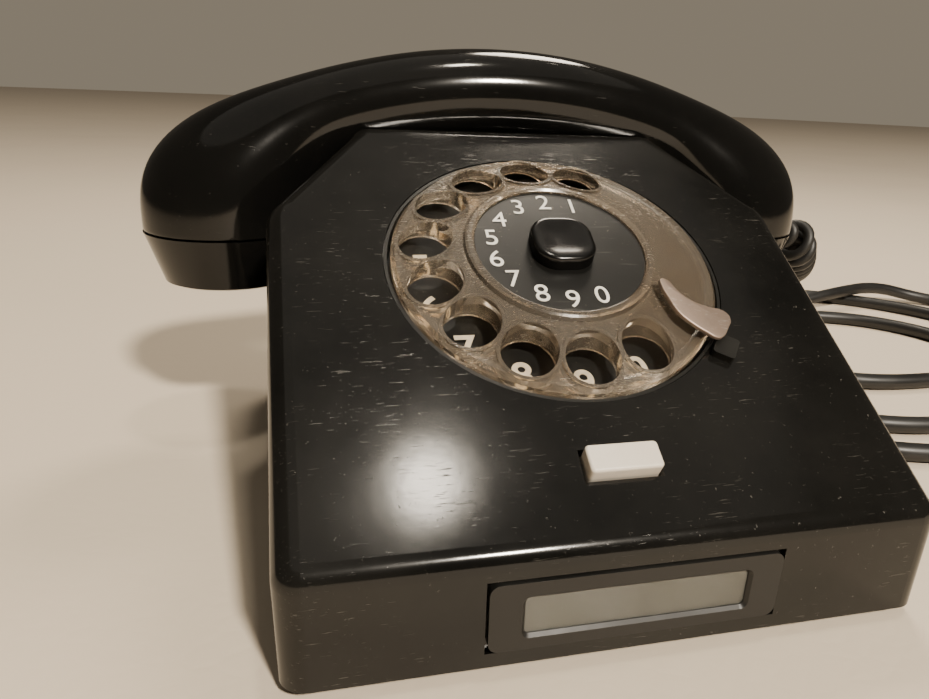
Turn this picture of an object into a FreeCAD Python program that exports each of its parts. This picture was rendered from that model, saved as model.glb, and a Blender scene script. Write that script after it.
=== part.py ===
import FreeCAD, Part
import math
import os

import Sketcher
from FreeCAD import Rotation, Vector

# Rotary-dial desk telephone. Millimetres, +Z up, the dial faces -Y and +Z.
# The origin is on the desk, under the middle of the telephone's own box (cords apart).

os.makedirs("parts", exist_ok=True)
doc = FreeCAD.newDocument("DeskTelephone")

# ---------------------------------------------------------------- sizes
sheet = doc.addObject("Spreadsheet::Sheet", "Sizes")

DRIVING = [
    ("body_width", 140, "housing, side to side"),
    ("body_depth", 168, "housing, front to back"),
    ("foot_height", 3, "desk to the underside of the housing"),
    ("slope_root", 27.8, "height where the sloping face would meet the front face"),
    ("slope_deg", 30.5, "sloping face, degrees from level"),
    ("crest_run", 114.5, "front face to the crest, level"),
    ("deck_end", 160, "front face to the back edge of the top deck"),
    ("wall", 2.6, "housing wall"),
    ("crest_round", 6, "rounding of the crest"),
    ("back_round", 12, "rounding of the back edge"),
    ("back_break", 50, "desk to where the back face begins to lean"),
    ("side_round", 5.5, "rounding of the side edges"),
    ("shoulder_round", 8, "rounding of the shoulders, seen from above"),
    ("notch_start", 89, "front face to where the shoulders begin"),
    ("notch_end", 119, "front face to where the neck begins"),
    ("neck_width", 92, "width of the neck between the handset's cups"),
    ("ledge_height", 40, "height of the ledges beside the neck"),
    ("base_thick", 1.4, "base plate"),
    ("base_gap", 0.4, "base plate to housing, each side"),
    ("foot_radius", 8, "rubber foot"),
    ("foot_inset", 19, "foot centre from the housing's sides"),
    ("boss_radius", 4.5, "screw boss"),
    ("boss_height", 26, "screw boss above the base plate"),
    ("screw_radius", 1.5, "base screw"),
    ("dial_run", 77, "front edge to the dial's centre, along the slope"),
    ("wheel_radius", 41.2, "finger wheel"),
    ("wheel_thick", 2.6, "finger wheel wall"),
    ("ring_radius", 33, "circle of finger-hole centres"),
    ("hole_radius", 6.6, "finger hole"),
    ("collar_wall", 0.9, "collar round a finger hole"),
    ("collar_rise", 0.5, "collar above the wheel's cone"),
    ("hole_pitch", 25.35, "degrees between finger holes"),
    ("first_hole", 67.7, "degrees from level to hole 1, about the dial"),
    ("disc_seat", 4.9, "sloping face to the number disc's seat"),
    ("disc_radius", 21.3, "number disc"),
    ("disc_thick", 0.8, "number disc"),
    ("knob_width", 16.5, "centre knob"),
    ("knob_rise", 3.6, "centre knob above the number disc"),
    ("shaft_radius", 2.5, "dial shaft"),
    ("case_gap", 0.8, "finger wheel to dial case"),
    ("case_wall", 0.8, "dial case"),
    ("case_depth", 7, "dial case below the sloping face"),
    ("case_fit", 0.2, "dial case to housing"),
    ("plate_radius", 31, "dial mechanism plates"),
    ("plate_thick", 1.2, "dial mechanism plates"),
    ("plate_space", 15, "between the two mechanism plates"),
    ("gear_module", 0.8, "dial gears"),
    ("stop_angle", 33.5, "degrees below level to the finger stop"),
    ("stop_width", 7.5, "finger stop at its root"),
    ("stop_thick", 1.1, "finger stop"),
    ("stop_lean", 13.5,
     "degrees that the finger stop leans down towards the rim, about the wheel's own slope"),
    ("stop_rise", 13.1, "face to the finger stop's underside, taken to the dial's axis"),
    ("key_run", 18.3, "front edge to the key's centre, along the slope"),
    ("key_width", 16, "key cap"),
    ("key_length", 6.5, "key cap"),
    ("key_rise", 3, "key cap above the sloping face"),
    ("key_gap", 0.6, "key cap to its slot"),
    ("key_travel", 2.5, "key stroke"),
    ("frame_width", 62, "label frame"),
    ("frame_high", 15.5, "label frame"),
    ("frame_base", 6.8, "desk to the label frame's lower edge"),
    ("frame_thick", 1.9, "label frame"),
    ("frame_sink", 1.3, "depth of the recess for the label frame"),
    ("frame_gap", 0.5, "label frame to its recess"),
    ("window_width", 47.5, "label window"),
    ("window_high", 8.4, "label window"),
    ("window_round", 1.0, "label window's corners"),
    ("frame_round", 2.2, "label frame's corners"),
    ("pane_thick", 0.6, "label pane"),
    ("card_thick", 0.3, "label card"),
    ("handset_run", 132, "front face to the handset's axis"),
    ("handset_top", 118.6, "desk to the top of the handle"),
    ("handle_radius", 13.5, "handle"),
    ("handle_bow", 177, "radius of the handle's axis"),
    ("handle_gap", 0.8, "handle to the cradle trough"),
    ("handset_wall", 3, "handset wall"),
    ("cup_radius", 23.5, "handset cup"),
    ("cup_spread", 167, "between the cup axes"),
    ("seam_height", 65, "desk to the seam between cup and cap"),
    ("cap_height", 15, "ear cap and mouth cap"),
    ("cap_taper", 4, "how much a cap's radius shrinks downwards"),
    ("cap_wall", 2.4, "ear cap and mouth cap"),
    ("capsule_radius", 16.5, "receiver and transmitter capsules"),
    ("capsule_thick", 11, "receiver and transmitter capsules"),
    ("plunger_radius", 3, "cradle plunger"),
    ("plunger_spread", 60, "between the cradle plungers"),
    ("plunger_gap", 0.3, "cradle plunger to its hole, and to the handle"),
    ("plunger_length", 19, "cradle plunger"),
    ("hook_x", 26, "middle of the object to the hook lever"),
    ("gong_radius", 21, "gong"),
    ("gong_high", 9, "gong"),
    ("gong_wall", 1.4, "gong"),
    ("gong_space", 10, "between the rims of the gongs"),
    ("gong_run", 134, "front face to the gong centres"),
    ("gong_level", 24, "desk to the gong rims"),
    ("ball_radius", 3.2, "clapper ball"),
    ("coil_radius", 8, "ringer coil"),
    ("coil_length", 25, "ringer coil"),
    ("core_radius", 3, "ringer core"),
    ("ringer_run", 62, "front face to the ringer frame"),
    ("gland_height", 13, "desk to the cord glands"),
    ("line_x", 30, "line-cord gland, to the right of the middle"),
    ("curly_x", -34, "handset-cord gland, to the left of the middle"),
    ("line_cord", 6.2, "line cord, diameter"),
    ("curly_cord", 16, "curly cord, outer diameter"),
    ("curly_wire", 4.2, "curly cord's own wire"),
    ("grommet_turn", 30, "degrees from the handset's length to its cord, seen from above"),
    ("grommet_dip", 15, "degrees that the cord dips where it leaves the handset"),
    ("grommet_length", 14, "handset cord grommet"),
]

DERIVED = [
    ("front_face", "=-body_depth / 2"),
    ("back_face", "=body_depth / 2"),
    ("slope_sin", "=sin(slope_deg * 1 deg)"),
    ("slope_cos", "=cos(slope_deg * 1 deg)"),
    ("slope_tan", "=tan(slope_deg * 1 deg)"),
    ("crest_height", "=slope_root + crest_run * slope_tan"),
    ("plate_top", "=foot_height + base_thick"),
    ("dial_y", "=front_face + dial_run * slope_cos"),
    ("dial_z", "=slope_root + dial_run * slope_sin"),
    ("key_y", "=front_face + key_run * slope_cos"),
    ("key_z", "=slope_root + key_run * slope_sin"),
    ("cone_top", "=disc_seat + 0.3"),
    ("gear_centres", "=gear_module * 27.5 + 0.35"),
    ("case_radius", "=wheel_radius + case_gap + case_wall"),
    ("handset_y", "=front_face + handset_run"),
    ("bow_centre", "=handset_top - handle_radius - handle_bow"),
    ("cup_x", "=cup_spread / 2"),
    ("bow_half", "=asin(cup_x / handle_bow) / 1 deg"),
    ("trough_radius", "=handle_radius + handle_gap"),
    ("plunger_top", "=bow_centre + sqrt(handle_bow * handle_bow - plunger_spread * plunger_spread / 4)"
                    " - handle_radius - plunger_gap - 0.5"),
    ("gong_x", "=gong_radius + gong_space / 2"),
    ("gong_y", "=front_face + gong_run"),
    ("ringer_y", "=front_face + ringer_run"),
    ("boss_x", "=body_width / 2 - wall - boss_radius + 0.8"),
]


def fill_sheet():
    row = 1
    for alias, value, note in DRIVING:
        sheet.set("A%d" % row, note)
        sheet.set("B%d" % row, str(value))
        sheet.setAlias("B%d" % row, alias)
        row += 1
    for alias, formula in DERIVED:
        sheet.set("B%d" % row, formula)
        sheet.setAlias("B%d" % row, alias)
        row += 1
    doc.recompute()


fill_sheet()
NAMES = sorted([entry[0] for entry in DRIVING] + [entry[0] for entry in DERIVED], key=len, reverse=True)


def sheet_words(text):
    """An expression with each size's alias written as Sizes.alias."""
    text = str(text)
    out = []
    word = ""
    for letter in text + " ":
        if letter.isalnum() or letter in "_.":
            word += letter
            continue
        out.append("Sizes." + word if word in NAMES else word)
        out.append(letter)
        word = ""
    return "".join(out).strip()


def size(text):
    """The number that an expression gives now."""
    value = sheet.evalExpression(sheet_words(text))
    return float(getattr(value, "Value", value))


def bind(thing, prop, text):
    """Set a property, and keep it tied to the sheet when the text names a size."""
    words = sheet_words(text)
    if "Sizes." in words:
        thing.setExpression(prop, words)
    else:
        setattr(thing, prop, size(text))


# ---------------------------------------------------------------- places
X_AXIS = Vector(1, 0, 0)
Y_AXIS = Vector(0, 1, 0)
Z_AXIS = Vector(0, 0, 1)


def stand(thing, x="0", y="0", z="0", axis=Z_AXIS, angle="0"):
    """Place a thing in the telephone's own frame."""
    thing.Placement = FreeCAD.Placement(Vector(size(x), size(y), size(z)), Rotation(axis, size(angle)))
    for letter, text in (("x", x), ("y", y), ("z", z)):
        if "Sizes." in sheet_words(text):
            thing.setExpression("Placement.Base." + letter, sheet_words(text))
    if "Sizes." in sheet_words(angle):
        thing.setExpression("Placement.Rotation.Angle", sheet_words(angle))
    return thing


def lay(thing, spot, across="0", up="0", out="0"):
    """Place a thing on the sloping face: spot is dial or key, out is along the face's normal."""
    y = "%s_y + (%s) * slope_cos - (%s) * slope_sin" % (spot, up, out)
    z = "%s_z + (%s) * slope_sin + (%s) * slope_cos" % (spot, up, out)
    return stand(thing, across, y, z, X_AXIS, "slope_deg")


# ---------------------------------------------------------------- primitives and booleans
def make(kind, name, **sizes):
    thing = doc.addObject(kind, name)
    for prop, text in sizes.items():
        bind(thing, prop, text)
    return thing


def box(name, wide, deep, high):
    return make("Part::Box", name, Length=wide, Width=deep, Height=high)


def rod(name, radius, length):
    return make("Part::Cylinder", name, Radius=radius, Height=length)


def taper(name, low, top, length):
    return make("Part::Cone", name, Radius1=low, Radius2=top, Height=length)


def ball(name, radius):
    return make("Part::Sphere", name, Radius=radius)


def fuse(name, *pieces):
    thing = doc.addObject("Part::MultiFuse", name)
    thing.Shapes = list(pieces)
    return thing


def cut(name, base, *tools):
    thing = doc.addObject("Part::Cut", name)
    thing.Base = base
    thing.Tool = tools[0] if len(tools) == 1 else fuse(name + "_tools", *tools)
    return thing


def common(name, first, second):
    thing = doc.addObject("Part::Common", name)
    thing.Base = first
    thing.Tool = second
    return thing


def group(name, *pieces):
    """Separate solids under one name, such as a set of screws."""
    thing = doc.addObject("Part::Compound", name)
    thing.Links = list(pieces)
    return thing


def tube(name, outer, inner, length):
    return cut(name, rod(name + "_outer", outer, length), rod(name + "_bore", inner, length))


# ---------------------------------------------------------------- sketched bodies
def body(name):
    return doc.addObject("PartDesign::Body", name)


def sketch(owner, name, role, corners):
    """A closed outline through corners, each given by two expressions and held by two dimensions."""
    plane = [item for item in owner.Origin.OriginFeatures if item.Role == role][0]
    drawing = owner.newObject("Sketcher::SketchObject", name)
    drawing.AttachmentSupport = [(plane, "")]
    drawing.MapMode = "FlatFace"
    spots = [Vector(size(a), size(b), 0) for a, b in corners]
    count = len(spots)
    for index in range(count):
        drawing.addGeometry(Part.LineSegment(spots[index], spots[(index + 1) % count]), False)
    for index in range(count):
        drawing.addConstraint(Sketcher.Constraint("Coincident", index, 2, (index + 1) % count, 1))
    for index in range(count):
        for kind, text, value in zip(("DistanceX", "DistanceY"), corners[index], spots[index]):
            held = drawing.addConstraint(Sketcher.Constraint(kind, -1, 1, index, 1, float(value)))
            if "Sizes." in sheet_words(text):
                drawing.setExpression("Constraints[%d]" % held, sheet_words(text))
    return drawing


def pad(owner, drawing, length, middle=False, backwards=False):
    feature = owner.newObject("PartDesign::Pad", drawing.Name + "_pad")
    feature.Profile = drawing
    bind(feature, "Length", length)
    feature.SideType = "Symmetric" if middle else "One side"
    feature.Reversed = backwards
    owner.Tip = feature
    return feature


def pocket(owner, drawing, length, middle=False, backwards=False):
    """Cut an outline out of a body, and make sure that it cut something."""
    doc.recompute()
    before = owner.Shape.Volume
    feature = owner.newObject("PartDesign::Pocket", drawing.Name + "_pocket")
    feature.Profile = drawing
    bind(feature, "Length", length)
    feature.SideType = "Symmetric" if middle else "One side"
    feature.Reversed = backwards
    owner.Tip = feature
    doc.recompute()
    if owner.Shape.Volume > before - 0.01:
        raise RuntimeError(drawing.Name + " cuts nothing")
    return feature


def spin(owner, drawing):
    """Turn an outline drawn on the XZ plane once round the body's own Z axis."""
    feature = owner.newObject("PartDesign::Revolution", drawing.Name + "_turned")
    feature.Profile = drawing
    feature.ReferenceAxis = (drawing, ["V_Axis"])
    feature.Angle = 360
    owner.Tip = feature
    return feature


def soften(owner, name, radius, wanted):
    """Round the edges of a body that wanted() picks."""
    doc.recompute()
    base = owner.Tip
    picked = ["Edge%d" % (i + 1) for i, edge in enumerate(base.Shape.Edges) if wanted(edge)]
    feature = owner.newObject("PartDesign::Fillet", name)
    feature.Base = (base, picked)
    bind(feature, "Radius", radius)
    owner.Tip = feature
    doc.recompute()
    return feature


def turned(name, corners):
    owner = body(name)
    spin(owner, sketch(owner, name + "_outline", "XZ_Plane", corners))
    return owner


def block(name, width, depth, low, high):
    """A plain block on the body's own XY plane, centred in X and Y, from low to high."""
    owner = body(name)
    half_width = "(%s) / 2" % width
    half_depth = "(%s) / 2" % depth
    corners = [
        ("-" + half_width, low), (half_width, low), (half_width, high), ("-" + half_width, high),
    ]
    pad(owner, sketch(owner, name + "_outline", "XZ_Plane", corners), "2 * " + half_depth, middle=True)
    return owner


def upright(edge):
    """True for a straight edge along Z."""
    run = edge.Vertexes[-1].Point - edge.Vertexes[0].Point
    return len(edge.Vertexes) == 2 and abs(run.x) < 0.01 and abs(run.y) < 0.01 and abs(run.z) > 0.5


PARTS = {}


def finish(name, thing):
    """Give a finished sub-part its name."""
    thing.Label = name
    PARTS[name] = thing
    return thing


# ---------------------------------------------------------------- housing
def middle_of(edge):
    return edge.valueAt((edge.FirstParameter + edge.LastParameter) / 2)


def near(value, text, slack=0.05):
    return abs(value - size(text)) < slack


def wedge(name, inset, low):
    """The sloping front and the neck behind it, with every side pulled in by inset."""
    owner = body(name)
    drop = "(%s) / slope_cos" % inset
    front = "front_face + (%s)" % inset
    back = "back_face - (%s)" % inset
    top = "crest_height - (%s)" % inset
    crest = "front_face + crest_run + (%s) * (1 / slope_cos - 1) / slope_tan" % inset
    deck = "front_face + deck_end - (%s)" % inset
    side_view = [
        (front, low),
        (front, "slope_root + (%s) * slope_tan - %s" % (inset, drop)),
        (crest, top),
        (deck, top),
        (back, "back_break"),
        (back, low),
    ]
    width = "body_width - 2 * (%s)" % inset
    pad(owner, sketch(owner, name + "_side", "YZ_Plane", side_view), width, middle=True)
    for corner, place, radius in (("crest", crest, "crest_round"), ("deck", deck, "back_round")):
        soften(owner, "%s_%s" % (name, corner), "%s - (%s)" % (radius, inset),
               lambda edge: near(middle_of(edge).y, place) and near(middle_of(edge).z, top))
    for sign, tag in (("", "right"), ("-", "left")):
        edge = sign + "(body_width / 2 - (%s))" % inset
        outside = sign + "(body_width / 2 + 2)"
        neck = sign + "(neck_width / 2 - (%s))" % inset
        start = "front_face + notch_start - 0.4 * (%s)" % inset
        plan = [
            (edge, start),
            (neck, "front_face + notch_end - 0.4 * (%s)" % inset),
            (neck, "back_face + 2"),
            (outside, "back_face + 2"),
            (outside, start),
        ]
        pocket(owner, sketch(owner, name + "_notch_" + tag, "XY_Plane", plan), "4 * crest_height",
               middle=True)
    return owner


def is_shoulder(edge):
    """The four upright edges where the shoulders begin and end."""
    spot = middle_of(edge)
    at_start = near(spot.y, "front_face + notch_start")
    at_end = near(spot.y, "front_face + notch_end")
    return upright(edge) and (at_start or at_end)


def is_rim(edge):
    """The edges round the sloping face and the neck's top, and the uprights at the front and back corners."""
    spot = middle_of(edge)
    if spot.z < size("foot_height") + 0.1:
        return False
    if upright(edge):
        return near(spot.y, "front_face") or near(spot.y, "back_face")
    if abs(spot.x) < 0.5:
        return near(spot.y, "front_face")
    return True


def rear_box(name, inset, low):
    """The low back of the housing, which makes the ledges beside the neck."""
    owner = body(name)
    half = "(body_width / 2 - (%s))" % inset
    back = "back_face - (%s)" % inset
    high = "ledge_height - (%s)" % inset
    outline = [("-" + half, "0"), (half, "0"), (half, back), ("-" + half, back)]
    base = sketch(owner, name + "_outline", "XY_Plane", outline)
    base.AttachmentOffset = FreeCAD.Placement(Vector(0, 0, size(low)), Rotation())
    base.setExpression("AttachmentOffset.Base.z", sheet_words(low))
    pad(owner, base, "%s - (%s)" % (high, low))
    return owner


def is_ledge_edge(edge):
    spot = middle_of(edge)
    if upright(edge):
        return near(spot.y, "back_face")
    on_side = near(abs(spot.x), "body_width / 2")
    return near(spot.z, "ledge_height") and (on_side or near(spot.y, "back_face"))


def make_housing():
    front = wedge("wedge_outer", "0", "foot_height")
    soften(front, "shoulder_rounding", "shoulder_round", is_shoulder)
    soften(front, "rim_rounding", "side_round", is_rim)
    rear = rear_box("rear_outer", "0", "foot_height")
    soften(rear, "ledge_rounding", "side_round", is_ledge_edge)
    outer = fuse("housing_outer", front, rear)
    cavity = fuse("housing_cavity", wedge("wedge_cavity", "wall", "foot_height - 1"),
                  rear_box("rear_cavity", "wall", "foot_height - 1"))
    trough_roof = bow_ring("trough_roof", "trough_radius + wall")
    hollow = cut("housing_hollow", cavity, trough_roof)
    shell = cut("housing_shell", outer, hollow)

    dial_hole = lay(rod("dial_hole", "case_radius + case_fit", "4 * wall"), "dial", out="-3 * wall")
    slot_wide = "key_width + 2 * key_gap"
    slot_long = "key_length + 2 * key_gap"
    key_slot = block("key_slot", slot_wide, slot_long, "-3 * wall", "wall")
    lay(key_slot, "key")
    recess_wide = "frame_width + 2 * frame_gap"
    recess = block("label_recess", recess_wide, "2 * frame_sink", "frame_base - frame_gap",
                   "frame_base + frame_high + frame_gap")
    stand(recess, y="front_face")
    trough = bow_ring("cradle_trough", "trough_radius")
    tools = [dial_hole, key_slot, recess, trough]
    for sign, tag in ((1, "right"), (-1, "left")):
        hole = rod("plunger_hole_" + tag, "plunger_radius + plunger_gap", "30")
        tools.append(stand(hole, "%d * plunger_spread / 2" % sign, "handset_y", "plunger_top - 20"))
    for tag, place, radius in (("line", "line_x", "line_cord / 2 + 1.6"),
                               ("curly", "curly_x", "curly_wire / 2 + 1.6")):
        hole = rod(tag + "_gland_hole", radius, "4 * wall")
        tools.append(stand(hole, place, "back_face + wall", "gland_height", X_AXIS, "90"))
    shell = cut("housing_open", shell, *tools)

    bosses = []
    bores = []
    for index, (sign, run) in enumerate(boss_places()):
        spot = ("%d * boss_x" % sign, run)
        post = rod("boss_%d" % index, "boss_radius", "boss_height")
        bosses.append(stand(post, *spot, z="plate_top"))
        bore = rod("boss_bore_%d" % index, "screw_radius + 0.1", "15")
        bores.append(stand(bore, *spot, z="plate_top - 1"))
    whole = fuse("housing_with_bosses", shell, *bosses)
    finish("housing", cut("housing_final", whole, *bores))


def bow_ring(name, radius):
    """A round bar bent along the handle's axis, from cup to cup."""
    ring = make("Part::Torus", name, Radius1="handle_bow", Radius2=radius, Angle3="2 * bow_half")
    turn = Rotation(X_AXIS, 90).multiply(Rotation(Z_AXIS, 90 - size("bow_half")))
    ring.Placement = FreeCAD.Placement(Vector(0, size("handset_y"), size("bow_centre")), turn)
    return ring


def boss_places():
    """Side and front-to-back place of the four screw bosses."""
    return [(side, "front_face + %s" % run) for run in ("40", "body_depth - 30") for side in (1, -1)]


# ---------------------------------------------------------------- base
def make_base():
    wide = "body_width - 2 * wall - 2 * base_gap"
    deep = "body_depth - 2 * wall - 2 * base_gap"
    plate = block("base_blank", wide, deep, "foot_height", "plate_top")
    soften(plate, "base_corners", "4", upright)
    holes = []
    screws = []
    for index, (sign, run) in enumerate(boss_places()):
        spot = ("%d * boss_x" % sign, run)
        hole = rod("base_hole_%d" % index, "screw_radius + 0.3", "4 * base_thick")
        holes.append(stand(hole, *spot, z="foot_height - 1"))
        head = stand(rod("screw_head_%d" % index, "2 * screw_radius", "1.6"), *spot, z="foot_height - 1.6")
        shank = stand(rod("screw_shank_%d" % index, "screw_radius", "12"), *spot, z="foot_height - 0.2")
        slot = stand(box("screw_slot_%d" % index, "0.8", "4 * screw_radius", "0.8"), spot[0] + " - 0.4",
                     spot[1] + " - 2 * screw_radius", "foot_height - 1.9")
        screws.append(cut("base_screw_%d" % index, fuse("screw_blank_%d" % index, head, shank), slot))
    finish("base_plate", cut("base_drilled", plate, *holes))
    finish("base_screws", group("screw_set", *screws))
    feet = []
    for x_sign in ("-", ""):
        for y_place in ("front_face + foot_inset", "back_face - foot_inset"):
            foot = taper("foot_%d" % len(feet), "foot_radius - 1", "foot_radius", "foot_height")
            feet.append(stand(foot, x_sign + "(body_width / 2 - foot_inset)", y_place, "0"))
    finish("feet", group("foot_set", *feet))


# ---------------------------------------------------------------- dial
def polar(radius, degrees):
    """Across and up, as expressions, at an angle about the dial's centre."""
    return ("(%s) * cos((%s) * 1 deg)" % (radius, degrees), "(%s) * sin((%s) * 1 deg)" % (radius, degrees))


def make_wheel():
    hub = "shaft_radius"
    seat = "disc_radius + 0.2"
    lip = "disc_radius + 2.8"
    floor = "disc_seat - wheel_thick + 0.3"
    outline = [
        (hub, floor),
        (lip, floor),
        ("wheel_radius - 2.2", "-1.4"),
        ("wheel_radius", "-1.4"),
        ("wheel_radius", "0.5"),
        ("wheel_radius - 1", "1.7"),
        ("wheel_radius - 2.4", "1.7"),
        ("wheel_radius - 3.2", "wheel_thick - 1.2"),
        (lip, "cone_top"),
        (lip + " - 0.4", "6.2"),
        (lip + " - 1", "6.5"),
        (seat + " + 0.6", "6.5"),
        (seat, "6.1"),
        (seat, "disc_seat"),
        (hub, "disc_seat"),
    ]
    blank = turned("wheel_blank", outline)
    envelope = turned("collar_envelope", [
        (lip + " - 1", "-2"), ("wheel_radius - 0.3", "-2"), ("wheel_radius - 0.3", "1.4 + collar_rise"),
        ("wheel_radius - 3.2", "wheel_thick - 1.2 + collar_rise"), (lip, "cone_top + collar_rise"),
        (lip + " - 1", "cone_top + collar_rise"),
    ])
    collars = []
    holes = []
    for index in range(10):
        across, up = polar("ring_radius", "first_hole + %d * hole_pitch" % index)
        collar = rod("collar_%d" % index, "hole_radius + collar_wall", "9")
        collars.append(stand(collar, across, up, "-1.8"))
        hole = rod("finger_hole_%d" % index, "hole_radius", "12")
        holes.append(stand(hole, across, up, "-5"))
    raised = common("collars_cut", envelope, fuse("collars_plain", *collars))
    whole = fuse("wheel_with_collars", blank, raised)
    wheel = cut("wheel_holed", whole, *holes)
    lay(wheel, "dial")
    finish("finger_wheel", wheel)


def make_dial_top():
    disc = turned("disc_blank", [
        ("shaft_radius", "disc_seat"), ("disc_radius", "disc_seat"),
        ("disc_radius", "disc_seat + disc_thick"), ("shaft_radius", "disc_seat + disc_thick"),
    ])
    finish("number_disc", lay(disc, "dial"))
    knob = block("knob_blank", "knob_width", "knob_width", "disc_seat + disc_thick",
                 "disc_seat + disc_thick + knob_rise")
    soften(knob, "knob_corners", "knob_width * 0.34", upright)
    crown = size("disc_seat + disc_thick + knob_rise")
    soften(knob, "knob_crown", "knob_rise * 0.55", lambda edge: abs(middle_of(edge).z - crown) < 0.01)
    finish("centre_knob", lay(knob, "dial"))
    shaft = rod("shaft_blank", "shaft_radius", "case_depth + plate_space + 2 * plate_thick"
                " + disc_seat + disc_thick + 2")
    low = "-case_depth - plate_space - 2 * plate_thick - 2"
    finish("dial_shaft", lay(shaft, "dial", out=low))


def make_dial_case():
    inner = "case_radius - case_wall"
    case = turned("case_blank", [
        ("shaft_radius + 2.5", "-case_depth"),
        ("case_radius", "-case_depth"),
        ("case_radius", "-0.2"),
        (inner, "-0.2"),
        (inner, "case_wall - case_depth"),
        ("shaft_radius + 2.5", "case_wall - case_depth"),
    ])
    finish("dial_case", lay(case, "dial"))
    ring = turned("ring_blank", [
        ("disc_radius + 2", "case_wall - case_depth"),
        (inner + " - 0.3", "case_wall - case_depth"),
        (inner + " - 0.3", "2 * case_wall - case_depth"),
        ("disc_radius + 2", "2 * case_wall - case_depth"),
    ])
    finish("number_ring", lay(ring, "dial"))
    clamp = turned("clamp_blank", [
        ("case_radius + 0.05", "-case_depth + 1"),
        ("case_radius + 4", "-case_depth + 1"),
        ("case_radius + 4", "-wall - 0.1"),
        ("case_radius + 0.05", "-wall - 0.1"),
    ])
    finish("dial_clamp_ring", lay(clamp, "dial"))


def make_mechanism():
    first = "-case_depth - plate_thick"
    second = "-case_depth - 2 * plate_thick - plate_space"
    pinion_place = "gear_centres"
    for name, low in (("dial_front_plate", first), ("dial_rear_plate", second)):
        plate = rod(name + "_blank", "plate_radius", "plate_thick")
        bore = stand(rod(name + "_bore", "shaft_radius + 0.05", "4"), z="-1")
        pivot = stand(rod(name + "_pivot", "1.05", "4"), x=pinion_place, z="-1")
        finish(name, lay(cut(name + "_bored", plate, bore, pivot), "dial", out=low))
    pillars = []
    for index in range(3):
        across, up = polar("plate_radius - 3", "60 + 120 * %d" % index)
        pillar = rod("pillar_%d" % index, "2", "plate_space")
        pillars.append(lay(pillar, "dial", across, up, "-case_depth - plate_thick - plate_space"))
    finish("dial_pillars", group("pillar_set", *pillars))

    gear_low = "-case_depth - plate_thick - 5"
    gear = gear_solid("main_gear_blank", 45, "2", "shaft_radius", 0)
    finish("main_gear", lay(gear, "dial", out=gear_low))
    pinion = gear_solid("pinion_blank", 10, "2.6", "1", 0.5)
    finish("governor_pinion", lay(pinion, "dial", pinion_place, out=gear_low + " - 0.3"))
    spindle = rod("spindle_blank", "1", "plate_space + 2 * plate_thick")
    weights = stand(rod("weight_hub", "3", "3"), z="4")
    arms = stand(box("weight_arms", "11", "2.4", "3"), "-5.5", "-1.2", "4")
    finish("governor_weights",
           lay(fuse("weights_fused", spindle, weights, arms), "dial", pinion_place, out=second))
    drum = tube("drum_blank", "8", "6.6", "4")
    finish("governor_drum", lay(drum, "dial", pinion_place, out=second + " + plate_thick + 1.6"))
    spring = tube("return_spring_blank", "9", "shaft_radius + 0.6", "3.6")
    finish("return_spring", lay(spring, "dial", out=second + " + plate_thick + 0.4"))
    cam = fuse("cam_fused", rod("cam_hub", "5", "1.6"),
               stand(box("cam_lobe", "9", "5", "1.6"), "0", "-2.5", "0"))
    cam = cut("cam_bored", cam, stand(rod("cam_bore", "shaft_radius", "4"), z="-1"))
    finish("pulse_cam", lay(cam, "dial", out=gear_low + " - 2.4"))
    blades = []
    for index in range(3):
        blade = box("pulse_blade_%d" % index, "0.4", "16", "3.2")
        blades.append(lay(blade, "dial", "-14 - %d * 1.6" % index, "-8", gear_low + " - 5.4"))
    finish("pulse_contacts", group("pulse_blades", *blades))


def gear_solid(name, teeth, thick, bore, turn_teeth):
    """A plain spur gear: trapezoid teeth with generous backlash, thick along the body's own Z."""
    module = size("gear_module")
    pitch = module * teeth / 2
    tip = pitch + 0.8 * module
    root = pitch - 1.1 * module
    step = 2 * math.pi / teeth
    points = []
    for index in range(teeth):
        angle = (index + turn_teeth) * step
        for radius, share in ((root, -0.27), (tip, -0.10), (tip, 0.10), (root, 0.27)):
            points.append(Vector(radius * math.cos(angle + share * step),
                                 radius * math.sin(angle + share * step), 0))
    outline = Part.Face(Part.makePolygon(points + points[:1]))
    blank = outline.extrude(Vector(0, 0, size(thick)))
    thing = doc.addObject("Part::Feature", name)
    thing.Shape = blank.cut(Part.makeCylinder(size(bore), size(thick)))
    return thing


def make_stop():
    """The finger stop: a flat blade over the wheel's cone, on a bracket outside its rim."""
    blade = body("stop_blank")
    plan = [
        ("disc_radius + 3.9", "-0.6"),
        ("disc_radius + 3.9", "1.4"),
        ("wheel_radius + 2.4", "1.2"),
        ("wheel_radius + 4", "1.2 - stop_width / 2"),
        ("wheel_radius + 1.6", "1.2 - stop_width"),
        ("wheel_radius - 5", "-stop_width * 0.42"),
        ("wheel_radius - 11", "-1.4"),
    ]
    pad(blade, sketch(blade, "stop_plan", "XY_Plane", plan), "stop_thick")
    soften(blade, "stop_corners", "0.5", upright)
    tilt = Rotation(Z_AXIS, -size("stop_angle")).multiply(Rotation(Y_AXIS, size("stop_lean")))
    local = FreeCAD.Placement(Vector(0, 0, size("stop_rise")), tilt)
    dial = FreeCAD.Placement(Vector(0, size("dial_y"), size("dial_z")), Rotation(X_AXIS, size("slope_deg")))
    blade.Placement = dial.multiply(local)
    finish("finger_stop", blade)
    bracket = block("bracket_blank", "5.4", "stop_width - 0.8", "0", "1.9")
    soften(bracket, "bracket_corners", "0.8", upright)
    spot = FreeCAD.Placement(Vector(size("wheel_radius + 4.6"), size("-2 - stop_width / 2"), 0), Rotation())
    turn = FreeCAD.Placement(Vector(0, 0, 0), Rotation(Z_AXIS, -size("stop_angle")))
    bracket.Placement = dial.multiply(turn).multiply(spot)
    finish("stop_bracket", bracket)


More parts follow.
